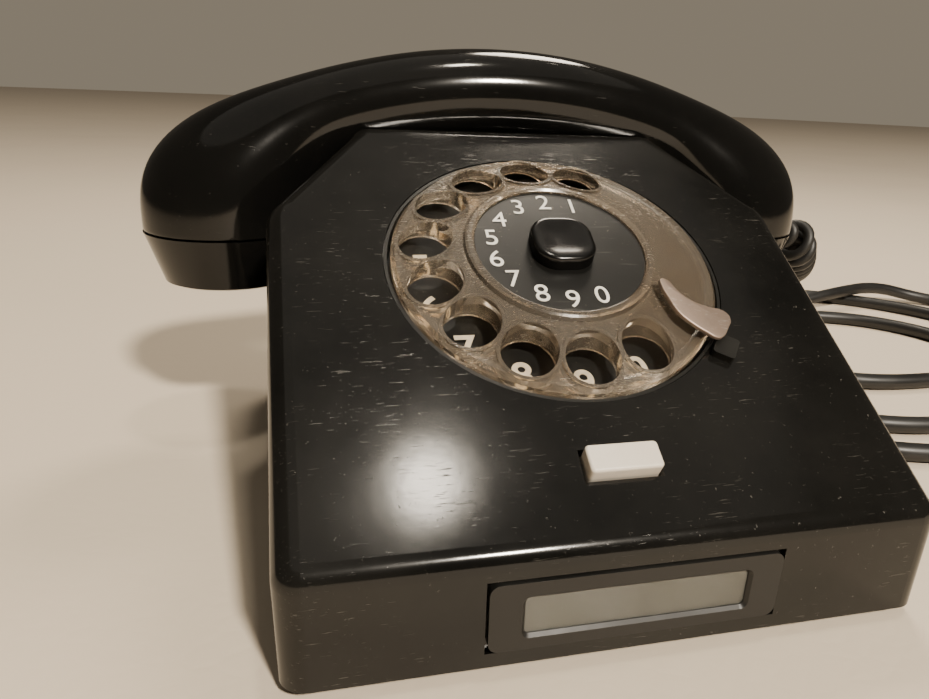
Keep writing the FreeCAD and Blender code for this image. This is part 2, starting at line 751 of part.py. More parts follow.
# ---------------------------------------------------------------- ground key
def make_key():
    cap = block("key_blank", "key_width", "key_length", "-wall - 0.6", "key_rise")
    crown = size("key_rise")
    soften(cap, "key_corners", "1", upright)
    soften(cap, "key_crown", "0.7", lambda edge: abs(middle_of(edge).z - crown) < 0.01)
    flange = stand(box("key_flange", "key_width + 3", "key_length + 3", "1.2"), "-key_width / 2 - 1.5",
                   "-key_length / 2 - 1.5", "-wall - 1.5")
    stem = stand(rod("key_stem", "1.8", "12 - 1.5"), z="-wall - 12")
    finish("key_cap", lay(fuse("key_whole", cap, flange, stem), "key"))
    spring = tube("key_spring_blank", "3.2", "1.8", "key_travel + 0.5")
    finish("key_spring", lay(spring, "key", out="-wall - 4.5"))
    guide = cut("guide_bored",
                stand(box("guide_blank", "key_width + 12", "9", "1.6"), "-key_width / 2 - 6", "-4.5", "0"),
                stand(rod("guide_bore", "1.85", "4"), z="-1"))
    legs = []
    for index, sign in enumerate((1, -1)):
        leg = box("guide_leg_%d" % index, "2", "9", "9.9")
        place = "key_width / 2 + 4" if sign > 0 else "-key_width / 2 - 6"
        legs.append(stand(leg, place, "-4.5", "0"))
    finish("key_guide", lay(fuse("guide_whole", guide, *legs), "key", out="-wall - 9.9"))
    blades = []
    for index in range(3):
        blade = box("key_blade_%d" % index, "20", "5", "0.4")
        blades.append(lay(blade, "key", "-10", "-2.5", "-wall - 15.6 - %d * 1.4" % index))
    finish("key_contacts", group("key_blades", *blades))


# ---------------------------------------------------------------- label
def make_label():
    low = "frame_base"
    high = "frame_base + frame_high"
    window_low = "frame_base + (frame_high - window_high) * 0.46"
    window_high = window_low + " + window_high"
    depth = "frame_thick"
    frame = block("frame_blank", "frame_width", depth, low, high)
    soften(frame, "frame_corners", "frame_round", lambda edge: along_y(edge))
    half = "window_width / 2"
    corners = [("-" + half, window_low), (half, window_low), (half, window_high), ("-" + half, window_high)]
    pocket(frame, sketch(frame, "window", "XZ_Plane", corners), "3 * frame_thick", middle=True)
    inner = size("window_width / 2")
    soften(frame, "window_corners", "window_round",
           lambda edge: along_y(edge) and abs(abs(middle_of(edge).x) - inner) < 0.05)
    bevel_front_edges(frame, "window_bevel", 0.7)
    rebate = block("rebate", "window_width + 4", "2 * (pane_thick + card_thick + 0.1)",
                   window_low + " - 1.2", window_high + " + 1.2")
    stand(rebate, y="frame_thick / 2")
    whole = cut("frame_rebated", frame, rebate)
    middle = "front_face + frame_sink - frame_thick / 2"
    finish("label_frame", stand(whole, y=middle))
    back = "front_face + frame_sink"
    for name, thick, offset in (("label_card", "card_thick", "0.05"),
                                ("label_pane", "pane_thick", "card_thick + 0.08")):
        sheet_piece = block(name + "_blank", "window_width + 3.6", thick, window_low + " - 1",
                            window_high + " + 1")
        finish(name, stand(sheet_piece, y="%s - (%s) - %s / 2" % (back, offset, thick)))


def along_y(edge):
    run = edge.Vertexes[-1].Point - edge.Vertexes[0].Point
    return abs(run.y) > 0.3 and abs(run.x) < 0.01 and abs(run.z) < 0.01


def bevel_front_edges(owner, name, amount):
    """Chamfer the window's edges on the front side of the frame."""
    doc.recompute()
    base = owner.Tip
    front = min(vertex.Point.y for vertex in base.Shape.Vertexes)
    reach = size("window_width / 2") + 0.1
    picked = []
    for index, edge in enumerate(base.Shape.Edges):
        spot = middle_of(edge)
        inside = abs(spot.x) < reach and size("frame_base") + 1 < spot.z < size("frame_base + frame_high") - 1
        if abs(spot.y - front) < 0.01 and inside:
            picked.append("Edge%d" % (index + 1))
    feature = owner.newObject("PartDesign::Chamfer", name)
    feature.Base = (base, picked)
    feature.Size = amount
    owner.Tip = feature
    doc.recompute()


# ---------------------------------------------------------------- handset
def cup_profile(radius, low, crown):
    """Half of a cup seen from the side: a cylinder under a dome, as a turned outline."""
    points = [("0", low), (radius, low)]
    for index in range(10):
        turn = index * 10
        points.append(("(%s) * cos(%d * 1 deg)" % (radius, turn),
                       "%s - (%s) * (1 - sin(%d * 1 deg))" % (crown, radius, turn)))
    points[-1] = ("0", crown)
    return points


def make_handset():
    crown = "bow_centre + sqrt(handle_bow * handle_bow - cup_x * cup_x) + handle_radius + 2.4"
    handle = bow_ring("handle_bar", "handle_radius")
    bore = bow_ring("handle_bore", "handle_radius - handset_wall - 1")
    solids = [handle]
    hollows = [bore]
    for sign, tag in (("", "right"), ("-", "left")):
        cup = turned("cup_" + tag, cup_profile("cup_radius", "seam_height", crown))
        solids.append(stand(cup, sign + "cup_x", "handset_y"))
        hollow = rod("cup_hollow_" + tag, "cup_radius - handset_wall", "14.5")
        hollows.append(stand(hollow, sign + "cup_x", "handset_y", "seam_height - 0.5"))
    shell = fuse("handset_solid", *solids)
    finish("handset_shell", cut("handset_hollowed", shell, *hollows))
    for tag, sign in (("ear", "-"), ("mouth", "")):
        make_cap(tag, sign)
    grommet = taper("grommet_blank", "curly_wire / 2 + 2.2", "curly_wire / 2 + 0.9", "grommet_length")
    turn = Rotation(Z_AXIS, size("grommet_turn")).multiply(Rotation(Y_AXIS, 90 + size("grommet_dip")))
    reach = size("cup_radius - 0.9")
    angle = math.radians(size("grommet_turn"))
    spot = Vector(size("cup_x") + reach * math.cos(angle), size("handset_y") + reach * math.sin(angle),
                  size("seam_height + 5.5"))
    grommet.Placement = FreeCAD.Placement(spot, turn)
    trim = stand(rod("grommet_trim", "cup_radius", "40"), "cup_x", "handset_y", "seam_height - 10")
    keep = cut("grommet_trimmed", grommet, trim)
    finish("handset_grommet", keep)


def make_cap(tag, sign):
    """An ear cap or mouth cap with its sound holes, its screwed neck, and the capsule inside."""
    low = "seam_height - cap_height"
    small = "cup_radius - cap_taper"
    outline = [
        ("0", low), (small + " - 1.6", low), (small + " - 0.4", low + " + 0.5"), (small, low + " + 1.8"),
        ("cup_radius", "seam_height - 0.2"), ("cup_radius - handset_wall - 0.4", "seam_height - 0.2"),
        ("cup_radius - handset_wall - 0.4", "seam_height + 5"), ("capsule_radius + 0.6", "seam_height + 5"),
        ("capsule_radius + 0.6", low + " + cap_wall"), ("0", low + " + cap_wall"),
    ]
    cap = turned(tag + "_cap_blank", outline)
    stand(cap, sign + "cup_x", "handset_y")
    holes = [stand(rod(tag + "_hole_middle", "1.2", "8"), sign + "cup_x", "handset_y", low + " - 1")]
    for ring, count in ((4.5, 6), (9, 12)):
        for index in range(count):
            hole = rod("%s_hole_%d_%d" % (tag, count, index), "1.2", "8")
            turn = 360.0 * index / count
            x = sign + "cup_x + %.1f * cos(%.0f * 1 deg)" % (ring, turn)
            y = "handset_y + %.1f * sin(%.0f * 1 deg)" % (ring, turn)
            holes.append(stand(hole, x, y, low + " - 1"))
    finish(tag + "_cap", cut(tag + "_cap_holed", cap, *holes))
    capsule = turned(tag + "_capsule_blank", [
        ("0", low + " + cap_wall + 0.1"), ("capsule_radius", low + " + cap_wall + 0.1"),
        ("capsule_radius", low + " + cap_wall + 3"), ("capsule_radius - 2", low + " + cap_wall + 4"),
        ("capsule_radius - 3", low + " + cap_wall + capsule_thick"),
        ("0", low + " + cap_wall + capsule_thick"),
    ])
    name = "receiver_capsule" if tag == "ear" else "transmitter_capsule"
    finish(name, stand(capsule, sign + "cup_x", "handset_y"))


# ---------------------------------------------------------------- hook switch
def make_hook():
    plungers = []
    for sign in (1, -1):
        plunger = turned("plunger_%s" % ("right" if sign > 0 else "left"), [
            ("0", "-plunger_length"), ("plunger_radius", "-plunger_length"), ("plunger_radius", "-1.4"),
            ("plunger_radius * 0.7", "-0.4"), ("0", "0"),
        ])
        plungers.append(stand(plunger, "%d * plunger_spread / 2" % sign, "handset_y", "plunger_top"))
    bar_top = "plunger_top - plunger_length"
    bar = stand(box("bar_blank", "plunger_spread + 10", "7", "3"), "-plunger_spread / 2 - 5",
                "handset_y - 3.5",
                bar_top + " - 3")
    finish("cradle_plungers", fuse("plunger_pair", bar, *plungers))
    pivot_y = "handset_y - 22"
    pivot_z = bar_top + " - 9"
    lever_top = bar_top + " - 3.5"
    arm = stand(box("lever_arm", "7", "25", "2.2"), "hook_x - 3.5", pivot_y, lever_top + " - 2.2")
    eye = stand(rod("lever_eye", "3.4", "7"), "hook_x - 3.5", pivot_y, pivot_z, Y_AXIS, "90")
    web = stand(box("lever_web", "7", "4", "5"), "hook_x - 3.5", pivot_y + " - 1", lever_top + " - 5.2")
    bore = stand(rod("lever_bore", "1.55", "9"), "hook_x - 4.5", pivot_y, pivot_z, Y_AXIS, "90")
    finish("hook_lever", cut("lever_bored", fuse("lever_blank", arm, eye, web), bore))
    pin = stand(rod("hook_pin_blank", "1.5", "15"), "hook_x - 7.5", pivot_y, pivot_z, Y_AXIS, "90")
    finish("hook_pin", pin)
    post = stand(box("post_plate", "16", "2.5", "%s + 4 - plate_top" % pivot_z), "hook_x - 8",
                 pivot_y + " - 9", "plate_top")
    cheeks = []
    for index, shift in enumerate((-7.5, 5.5)):
        cheek = box("post_cheek_%d" % index, "2", "12", "9")
        cheeks.append(stand(cheek, "hook_x + (%.1f)" % shift, pivot_y + " - 8", pivot_z + " - 5"))
    finish("hook_post", cut("post_bored", fuse("post_whole", post, *cheeks),
                            stand(rod("post_bore", "1.5", "20"), "hook_x - 10", pivot_y, pivot_z, Y_AXIS,
                                  "90")))
    blades = []
    for index in range(4):
        blade = box("hook_blade_%d" % index, "8", "22", "0.5")
        blades.append(stand(blade, "hook_x - 4", pivot_y + " - 5", "%s - 10 - %d * 2" % (pivot_z, index)))
    finish("hook_contacts", group("hook_blades", *blades))


# ---------------------------------------------------------------- ringer
def make_ringer():
    rim = "gong_level"
    top = "gong_level + gong_high"
    gongs = []
    posts = []
    for tag, sign in (("left", "-"), ("right", "")):
        gong = turned("gong_blank_" + tag, [
            ("gong_radius - gong_wall", rim), ("gong_radius", rim),
            ("gong_radius - 1", rim + " + gong_high * 0.55"),
            ("gong_radius - 6", top + " - 0.6"), ("gong_radius - 9", top), ("1.6", top),
            ("1.6", top + " - gong_wall"),
            ("gong_radius - 9", top + " - gong_wall"), ("gong_radius - 6.8", top + " - gong_wall - 0.5"),
            ("gong_radius - 1 - gong_wall", rim + " + gong_high * 0.5"),
        ])
        gongs.append(stand(gong, sign + "gong_x", "gong_y"))
        post = turned("gong_post_blank_" + tag, [
            ("0", "plate_top"), ("3", "plate_top"), ("3", top + " - gong_wall"),
            ("1.5", top + " - gong_wall"),
            ("1.5", top + " + 3"), ("0", top + " + 3"),
        ])
        posts.append(stand(post, sign + "gong_x", "gong_y"))
    finish("gongs", group("gong_pair", *gongs))
    finish("gong_posts", group("gong_post_pair", *posts))
    nuts = []
    for tag, sign in (("left", "-"), ("right", "")):
        nuts.append(stand(tube("gong_nut_" + tag, "3.2", "1.5", "2"), sign + "gong_x", "gong_y", top))
    finish("gong_nuts", group("gong_nut_pair", *nuts))

    coil_z = "plate_top + 16"
    foot = stand(box("frame_foot", "40", "coil_length + 13", "2"), "-20", "ringer_y", "plate_top")
    back = stand(box("frame_back", "40", "3", "26"), "-20", "ringer_y", "plate_top")
    finish("ringer_frame", fuse("frame_whole", foot, back))
    cores = []
    coils = []
    for index, sign in enumerate((1, -1)):
        core = rod("core_%d" % index, "core_radius", "coil_length + 4")
        cores.append(stand(core, "%d * 10.5" % sign, "ringer_y + 3 + coil_length + 4", coil_z, X_AXIS, "90"))
        coil = tube("coil_%d" % index, "coil_radius", "core_radius", "coil_length")
        coils.append(stand(coil, "%d * 10.5" % sign, "ringer_y + 3.5 + coil_length", coil_z, X_AXIS, "90"))
    finish("ringer_cores", group("core_pair", *cores))
    finish("ringer_coils", group("coil_pair", *coils))
    pivot_y = "ringer_y + coil_length + 10.5"
    bar = stand(box("armature_bar", "34", "3", "16"), "-17", pivot_y + " - 1.5", coil_z + " - 6")
    arm_z = rim + " + 3"
    arm = stand(rod("clapper_arm", "0.9", "gong_y - ball_radius / 2 - (%s)" % pivot_y),
                "0", "gong_y - ball_radius / 2", arm_z, X_AXIS, "90")
    head = stand(ball("clapper_ball", "ball_radius"), "0", "gong_y", arm_z)
    bore = stand(rod("armature_bore", "1.25", "40"), "0", pivot_y, "plate_top - 5")
    finish("clapper", cut("armature_bored", fuse("clapper_whole", bar, arm, head), bore))
    pin = stand(rod("armature_pin_blank", "1.2", "30"), "0", pivot_y, "plate_top + 2")
    finish("armature_pin", pin)


# ---------------------------------------------------------------- electrical parts on the base plate
def make_electrics():
    y = "front_face + 24"
    core = box("induction_core_blank", "9", "22", "22")
    side_core = stand(core, "-58", y, "plate_top")
    far_core = stand(box("induction_core_far", "9", "22", "22"), "-33", y, "plate_top")
    leg = stand(box("induction_core_leg", "16", "8", "8"), "-49", y + " + 7", "plate_top + 7")
    finish("induction_core", fuse("induction_core_whole", side_core, far_core, leg))
    winding = stand(box("winding_outer", "15.6", "18", "18"), "-48.8", y + " + 2", "plate_top + 2")
    hole = stand(box("winding_hole", "20", "8", "8"), "-50", y + " + 7", "plate_top + 7")
    finish("induction_winding", cut("winding_whole", winding, hole))
    can = stand(rod("capacitor_blank", "8.5", "32"), "24", y + " + 10", "plate_top + 8.6", Y_AXIS, "90")
    finish("capacitor", can)
    block_y = y + " + 18"
    base = stand(box("terminal_base", "36", "12", "7"), "-18", block_y, "plate_top")
    bores = []
    screws = []
    for index in range(6):
        x = "-15 + %d * 6" % index
        bores.append(stand(rod("terminal_bore_%d" % index, "1.2", "6"), x, block_y + " + 6", "plate_top + 3"))
        head = stand(rod("terminal_head_%d" % index, "2.2", "1.4"), x, block_y + " + 6", "plate_top + 7")
        shank = stand(rod("terminal_shank_%d" % index, "1.2", "4"), x, block_y + " + 6", "plate_top + 3.1")
        screws.append(fuse("terminal_screw_%d" % index, head, shank))
    finish("terminal_block", cut("terminal_bored", base, *bores))
    finish("terminal_screws", group("terminal_screw_set", *screws))


# ---------------------------------------------------------------- cords
# Routes are points in millimetres, from the gland outwards. The last number is the height of the cord.
LINE_ROUTE = [
    (30, 108, 13), (30, 123, 13), (33, 141, 9.5), (44, 159, 5), (63, 172, 3.2), (92, 182, 3.2),
    (129, 190, 3.2),
    (170, 193, 3.2), (211, 184, 3.2), (247, 164, 3.2), (272, 134, 3.2), (283, 92, 3.2), (279, 50, 3.2),
    (250, 8, 3.2),
    (208, -14, 3.2), (165, -22, 3.2), (121, -16, 3.2), (91, 9, 3.2), (81, 50, 3.2), (84, 92, 3.2),
    (104, 131, 3.2),
    (142, 150, 3.2), (184, 152, 3.4), (224, 157, 9.9), (262, 170, 9.9), (290, 166, 3.4), (309, 143, 3.2),
    (317, 107, 3.2), (309, 71, 3.4), (287, 46, 9.9), (252, 24, 9.9), (220, 10, 3.4), (178, 1, 3.2),
    (134, 3, 3.2),
    (102, 28, 3.2), (92, 66, 3.2), (102, 104, 3.2), (127, 130, 3.2), (172, 140, 3.2), (214, 133, 3.2),
    (240, 105, 3.2), (242, 72, 3.2), (222, 47, 3.2), (190, 42, 3.2), (166, 42.5, 3.3), (148, 47, 3.8),
    (134, 57, 6), (128, 71, 8), (129, 84, 8),
]
CURLY_ROUTE = [
    (-34, 96, 13), (-34, 113, 13), (-32, 133, 10.5), (-23, 156, 8.4), (-4, 177, 8.3), (25, 194, 8.3),
    (59, 207, 8.3),
    (95, 218, 8.3), (130, 229, 8.3), (162, 236, 8.3), (187, 237, 9.2), (204, 226, 11.5), (211, 207, 15),
    (207, 184, 19), (191, 158, 24.5), (171, 132, 30.5), (152, 109, 37), (138.5, 92, 44.5), (128, 79, 52.5),
    (121.5, 71.5, 60), (116.8, 67.3, 66.3),
]


def route_wire(points):
    """Straight runs joined by tangent arcs, each as large as its two runs allow."""
    spots = [Vector(*point) for point in points]
    edges = []
    radii = []
    last = spots[0]
    for before, spot, after in zip(spots, spots[1:], spots[2:]):
        come = (spot - before).normalize()
        go = (after - spot).normalize()
        turn = come.getAngle(go)
        trim = 0.45 * min((spot - before).Length, (after - spot).Length)
        radius = trim / math.tan(turn / 2)
        start = spot - come * trim
        end = spot + go * trim
        inward = (go - come).normalize()
        middle = spot + inward * (radius / math.cos(turn / 2) - radius)
        edges.append(Part.LineSegment(last, start).toShape())
        edges.append(Part.Arc(start, middle, end).toShape())
        radii.append(radius)
        last = end
    edges.append(Part.LineSegment(last, spots[-1]).toShape())
    return Part.Wire(edges), radii


def cord_solid(name, points, diameter):
    wire, radii = route_wire(points)
    start = Vector(*points[0])
    heading = Vector(*points[1]) - start
    section = Part.Wire(Part.makeCircle(diameter / 2, start, heading))
    solid = wire.makePipeShell([section], True, False)
    expected = math.pi * diameter ** 2 / 4 * wire.Length
    print("%s: length %.0f, smallest radius %.0f, volume ratio %.4f"
          % (name, wire.Length, min(radii), solid.Volume / expected))
    print("   radii", " ".join("%.0f" % radius for radius in radii))
    thing = doc.addObject("Part::Feature", name + "_tube")
    thing.Shape = solid
    thing.Placement = FreeCAD.Placement()
    finish(name, thing)


def make_glands():
    """The tapered strain relief of each cord, seated in the housing's back wall."""
    for tag, place, cord, length in (
        ("line", "line_x", "line_cord", "24"),
        ("curly", "curly_x", "curly_wire", "12"),
    ):
        gland = turned(tag + "_gland_blank", [
            ("0", "-wall - 3"), (cord + " / 2 + 3.4", "-wall - 3"), (cord + " / 2 + 3.4", "-wall - 0.1"),
            (cord + " / 2 + 1.5", "-wall - 0.1"), (cord + " / 2 + 1.5", "0.1"), (cord + " / 2 + 3", "0.1"),
            (cord + " / 2 + 2.4", "3"), (cord + " / 2 + 0.9", length), ("0", length),
        ])
        finish(tag + "_cord_gland", stand(gland, place, "back_face", "gland_height", X_AXIS, "-90"))


def make_plug():
    """A flat telephone plug at the line cord's far end, lying on the desk."""
    last = Vector(*LINE_ROUTE[-1])
    run = last - Vector(*LINE_ROUTE[-2])
    heading = math.degrees(math.atan2(run.y, run.x))
    form = body("plug_blank")
    plan = [("0", "-4.5"), ("5", "-5"), ("9", "-9"), ("30", "-9.5"), ("30", "9.5"), ("9", "9"), ("5", "5"),
            ("0", "4.5")]
    pad(form, sketch(form, "plug_plan", "XY_Plane", plan), "14", middle=True)
    soften(form, "plug_rounding", "1.6", lambda edge: middle_of(edge).x > -1)
    spot = FreeCAD.Placement(Vector(last.x, last.y, 8), Rotation(Z_AXIS, heading))
    form.Placement = spot
    finish("plug", form)
    blades = []
    for index in range(4):
        blade = box("blade_%d" % index, "9", "2.4", "0.9")
        blade.Placement = spot.multiply(FreeCAD.Placement(Vector(30, -8.2 + 4.6 * index, -0.45), Rotation()))
        blades.append(blade)
    finish("plug_blades", group("blade_set", *blades))


# ---------------------------------------------------------------- build, check and write
def build():
    make_housing()
    make_base()
    make_wheel()
    make_dial_top()
    make_dial_case()
    make_mechanism()
    make_stop()
    make_key()
    make_label()
    make_handset()
    make_hook()
    make_ringer()
    make_electrics()
    make_glands()
    make_plug()
    cord_solid("line_cord", LINE_ROUTE, size("line_cord"))
    cord_solid("curly_cord", CURLY_ROUTE, size("curly_cord"))
    doc.recompute()


def check():
    for thing in doc.Objects:
        if "Invalid" in thing.State or "Error" in thing.State:
            raise RuntimeError(thing.Name + " failed: " + ", ".join(thing.State))
    faulty = []
    for name, thing in PARTS.items():
        if thing.Shape.isNull() or not thing.Shape.isValid() or not thing.Shape.Solids:
            faulty.append(name)
    if faulty:
        raise RuntimeError("no valid solid: " + ", ".join(faulty))


def write():
    for name, thing in PARTS.items():
        thing.Shape.exportStep("parts/%s.step" % name)
    print("%d sub-parts" % len(PARTS))


build()
check()
write()
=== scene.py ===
"""Looks for a rotary-dial desk telephone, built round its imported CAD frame."""
import math

import bpy
from mathutils import Matrix, Vector


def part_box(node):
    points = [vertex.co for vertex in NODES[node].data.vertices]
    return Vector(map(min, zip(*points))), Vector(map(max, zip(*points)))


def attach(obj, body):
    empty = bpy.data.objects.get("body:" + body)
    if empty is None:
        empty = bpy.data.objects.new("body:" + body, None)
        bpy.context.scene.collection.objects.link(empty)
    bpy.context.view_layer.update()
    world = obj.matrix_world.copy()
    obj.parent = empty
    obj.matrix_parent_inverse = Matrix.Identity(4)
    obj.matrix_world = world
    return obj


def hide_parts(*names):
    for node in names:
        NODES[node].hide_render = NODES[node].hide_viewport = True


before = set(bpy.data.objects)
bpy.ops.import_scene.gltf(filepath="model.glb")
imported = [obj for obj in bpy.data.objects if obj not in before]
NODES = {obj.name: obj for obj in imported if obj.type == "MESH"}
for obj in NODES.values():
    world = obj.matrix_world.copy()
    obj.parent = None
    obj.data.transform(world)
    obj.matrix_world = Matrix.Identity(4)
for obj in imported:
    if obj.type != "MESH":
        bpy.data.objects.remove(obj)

bl_info = {
    "name": "Rotary desk telephone",
    "version": (1, 0, 0),
    "blender": (4, 5, 0),
    "location": "3D View > Sidebar > Telephone",
    "description": "Dresses the telephone's CAD frame with its finishes, figures, handset and cords",
    "category": "Object",
}

MM = 0.001
HOUSING_LOW, HOUSING_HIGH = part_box("housing")
# The desk point under the middle of the housing, which all sizes below are measured from.
HOME = Vector(((HOUSING_LOW.x + HOUSING_HIGH.x) / 2, HOUSING_LOW.y + 0.084, 0))
SLOPE = math.radians(30.5)
DIAL_CENTRE = Vector((0, -17.655, 66.880))
DIGITS = "1234567890"
DUST_GREY = (0.16, 0.15, 0.13)


def at(x, y, z):
    """A point given in millimetres from the desk point, in metres."""
    return HOME + Vector((x, y, z)) * MM


def dial_place(across=0.0, up=0.0, out=0.0):
    """A place on the dial, with its axes along the face, in millimetres from the dial's centre."""
    turn = Matrix.Rotation(SLOPE, 4, "X")
    spot = HOME + DIAL_CENTRE * MM + turn @ (Vector((across, up, out)) * MM)
    return Matrix.Translation(spot) @ turn


# ---------------------------------------------------------------- modelling helpers
def clear_selection():
    if bpy.context.object and bpy.context.object.mode != "OBJECT":
        bpy.ops.object.mode_set(mode="OBJECT")
    bpy.ops.object.select_all(action="DESELECT")


def pick(piece):
    clear_selection()
    piece.select_set(True)
    bpy.context.view_layer.objects.active = piece


def settle(piece):
    """Moves the piece's place into its mesh."""
    pick(piece)
    bpy.ops.object.transform_apply(location=True, rotation=True, scale=True)


def finish_mesh(piece, angle=40):
    pick(piece)
    bpy.ops.object.mode_set(mode="EDIT")
    bpy.ops.mesh.select_all(action="SELECT")
    bpy.ops.mesh.remove_doubles(threshold=0.000002)
    bpy.ops.mesh.normals_make_consistent(inside=False)
    bpy.ops.object.mode_set(mode="OBJECT")
    bpy.ops.object.shade_smooth_by_angle(angle=math.radians(angle))


def add_modifier(piece, kind, **values):
    pick(piece)
    bpy.ops.object.modifier_add(type=kind)
    modifier = piece.modifiers[-1]
    for name, value in values.items():
        setattr(modifier, name, value)
    bpy.ops.object.modifier_apply(modifier=modifier.name)


def select_in_mesh(piece, test, kind="VERT"):
    """In edit mode, selects the vertices or faces that pass the test."""
    bpy.ops.mesh.select_all(action="DESELECT")
    bpy.ops.mesh.select_mode(type=kind)
    bpy.ops.object.mode_set(mode="OBJECT")
    for element in piece.data.vertices if kind == "VERT" else piece.data.polygons:
        element.select = bool(test(element))
    bpy.ops.object.mode_set(mode="EDIT")


def dress(piece, material):
    piece.data.materials.clear()
    piece.data.materials.append(material)


def join_pieces(pieces, name):
    clear_selection()
    for piece in pieces:
        piece.select_set(True)
    bpy.context.view_layer.objects.active = pieces[0]
    bpy.ops.object.join()
    pieces[0].name = name
    return pieces[0]


# ---------------------------------------------------------------- shared effects
def new_group(name, inputs, outputs):
    tree = bpy.data.node_groups.new(name, "ShaderNodeTree")
    for label, value in inputs:
        socket = tree.interface.new_socket(name=label, in_out="INPUT", socket_type="NodeSocketFloat")
        socket.default_value = value
    for label in outputs:
        tree.interface.new_socket(name=label, in_out="OUTPUT", socket_type="NodeSocketFloat")
    return tree, tree.nodes.new("NodeGroupInput"), tree.nodes.new("NodeGroupOutput")


def place(tree, kind, **sockets):
    """A node with its inputs set to values or linked. An input is given by name, or as i and its number."""
    node = tree.nodes.new(kind)
    for label, value in sockets.items():
        feed(tree, node, label, value)
    return node


def feed(tree, node, label, value):
    numbered = label[0] == "i" and label[1:].isdigit()
    socket = node.inputs[int(label[1:]) if numbered else label.replace("_", " ")]
    if isinstance(value, bpy.types.NodeSocket):
        tree.links.new(value, socket)
    else:
        socket.default_value = value


def arithmetic(tree, operation, first, second):
    node = tree.nodes.new("ShaderNodeMath")
    node.operation = operation
    feed(tree, node, "i0", first)
    feed(tree, node, "i1", second)
    return node.outputs[0]


def between(tree, value, low, high, floor=0.0, ceiling=1.0):
    """Maps a value from low..high to floor..ceiling, held at both ends."""
    node = place(tree, "ShaderNodeMapRange", Value=value, From_Min=low, From_Max=high,
                 To_Min=floor, To_Max=ceiling)
    return node.outputs[0]


def noise(tree, vector, scale, detail=2.0, roughness=0.5):
    node = place(tree, "ShaderNodeTexNoise", Vector=vector, Scale=scale, Detail=detail, Roughness=roughness)
    return node.outputs["Fac"]


def object_points(tree):
    return tree.nodes.new("ShaderNodeTexCoord").outputs["Object"]


def build_scratches():
    """Fine hairlines in three directions. Reach makes more of them, and Scale makes them finer."""
    tree, source, sink = new_group("Hairline scratches", [("Scale", 60.0), ("Reach", 0.5)], ["Mask"])
    points = object_points(tree)
    total = None
    for turn in ((0.4, 0.3, 0.5), (-0.3, 0.5, -0.7), (0.2, -0.4, 1.3)):
        mapped = place(tree, "ShaderNodeMapping", Vector=points, Rotation=turn, Scale=(1.0, 14.0, 11.0))
        streak = noise(tree, mapped.outputs[0], source.outputs["Scale"], 3.0, 0.6)
        edge = arithmetic(tree, "SUBTRACT", 0.74, arithmetic(tree, "MULTIPLY", source.outputs["Reach"], 0.14))
        line = between(tree, streak, edge, arithmetic(tree, "ADD", edge, 0.06))
        total = line if total is None else arithmetic(tree, "MAXIMUM", total, line)
    broken = between(tree, noise(tree, points, 38.0, 2.0), 0.42, 0.62)
    feed(tree, sink, "Mask", arithmetic(tree, "MULTIPLY", total, broken))
    return tree


def build_dust():
    """Specks that gather in patches. Cover is how much of the surface they take."""
    tree, source, sink = new_group("Settled dust", [("Scale", 900.0), ("Cover", 0.4)], ["Mask"])
    points = object_points(tree)
    fine = noise(tree, points, source.outputs["Scale"], 3.0, 0.65)
    patch = between(tree, noise(tree, points, 27.0, 4.0, 0.6), 0.38, 0.7)
    edge = arithmetic(tree, "SUBTRACT", 0.8, arithmetic(tree, "MULTIPLY", source.outputs["Cover"], 0.3))
    speck = between(tree, fine, edge, arithmetic(tree, "ADD", edge, 0.08))
    feed(tree, sink, "Mask", arithmetic(tree, "MULTIPLY", speck, patch))
    return tree


def build_blotches():
    """Broad uneven wear, from 0 to 1."""
    tree, source, sink = new_group("Uneven wear", [("Scale", 20.0)], ["Mask"])
    points = object_points(tree)
    broad = noise(tree, points, source.outputs["Scale"], 5.0, 0.62)
    feed(tree, sink, "Mask", between(tree, broad, 0.35, 0.68))
    return tree


GROUPS = {}


def effect(tree, name, **values):
    builders = {"scratches": build_scratches, "dust": build_dust, "blotches": build_blotches}
    if name not in GROUPS:
        GROUPS[name] = builders[name]()
    node = tree.nodes.new("ShaderNodeGroup")
    node.node_tree = GROUPS[name]
    for label, value in values.items():
        feed(tree, node, label, value)
    return node.outputs["Mask"]


def blend_colours(tree, factor, first, second):
    node = tree.nodes.new("ShaderNodeMix")
    node.data_type = "RGBA"
    feed(tree, node, "i0", factor)
    feed(tree, node, "i6", first if isinstance(first, bpy.types.NodeSocket) else (*first[:3], 1.0))
    feed(tree, node, "i7", second if isinstance(second, bpy.types.NodeSocket) else (*second[:3], 1.0))
    return node.outputs[2]


def new_material(name, **plain):
    """A material and its Principled shader, with plain values set on the shader's own sockets."""
    material = bpy.data.materials.new(name)
    material.use_nodes = True
    tree = material.node_tree
    shader = tree.nodes["Principled BSDF"]
    for label, value in plain.items():
        feed(tree, shader, label, value)
    return material, tree, shader


def relief(tree, shader, height, depth, strength=0.5):
    bump = place(tree, "ShaderNodeBump", Height=height, Distance=depth, Strength=strength)
    tree.links.new(bump.outputs["Normal"], shader.inputs["Normal"])


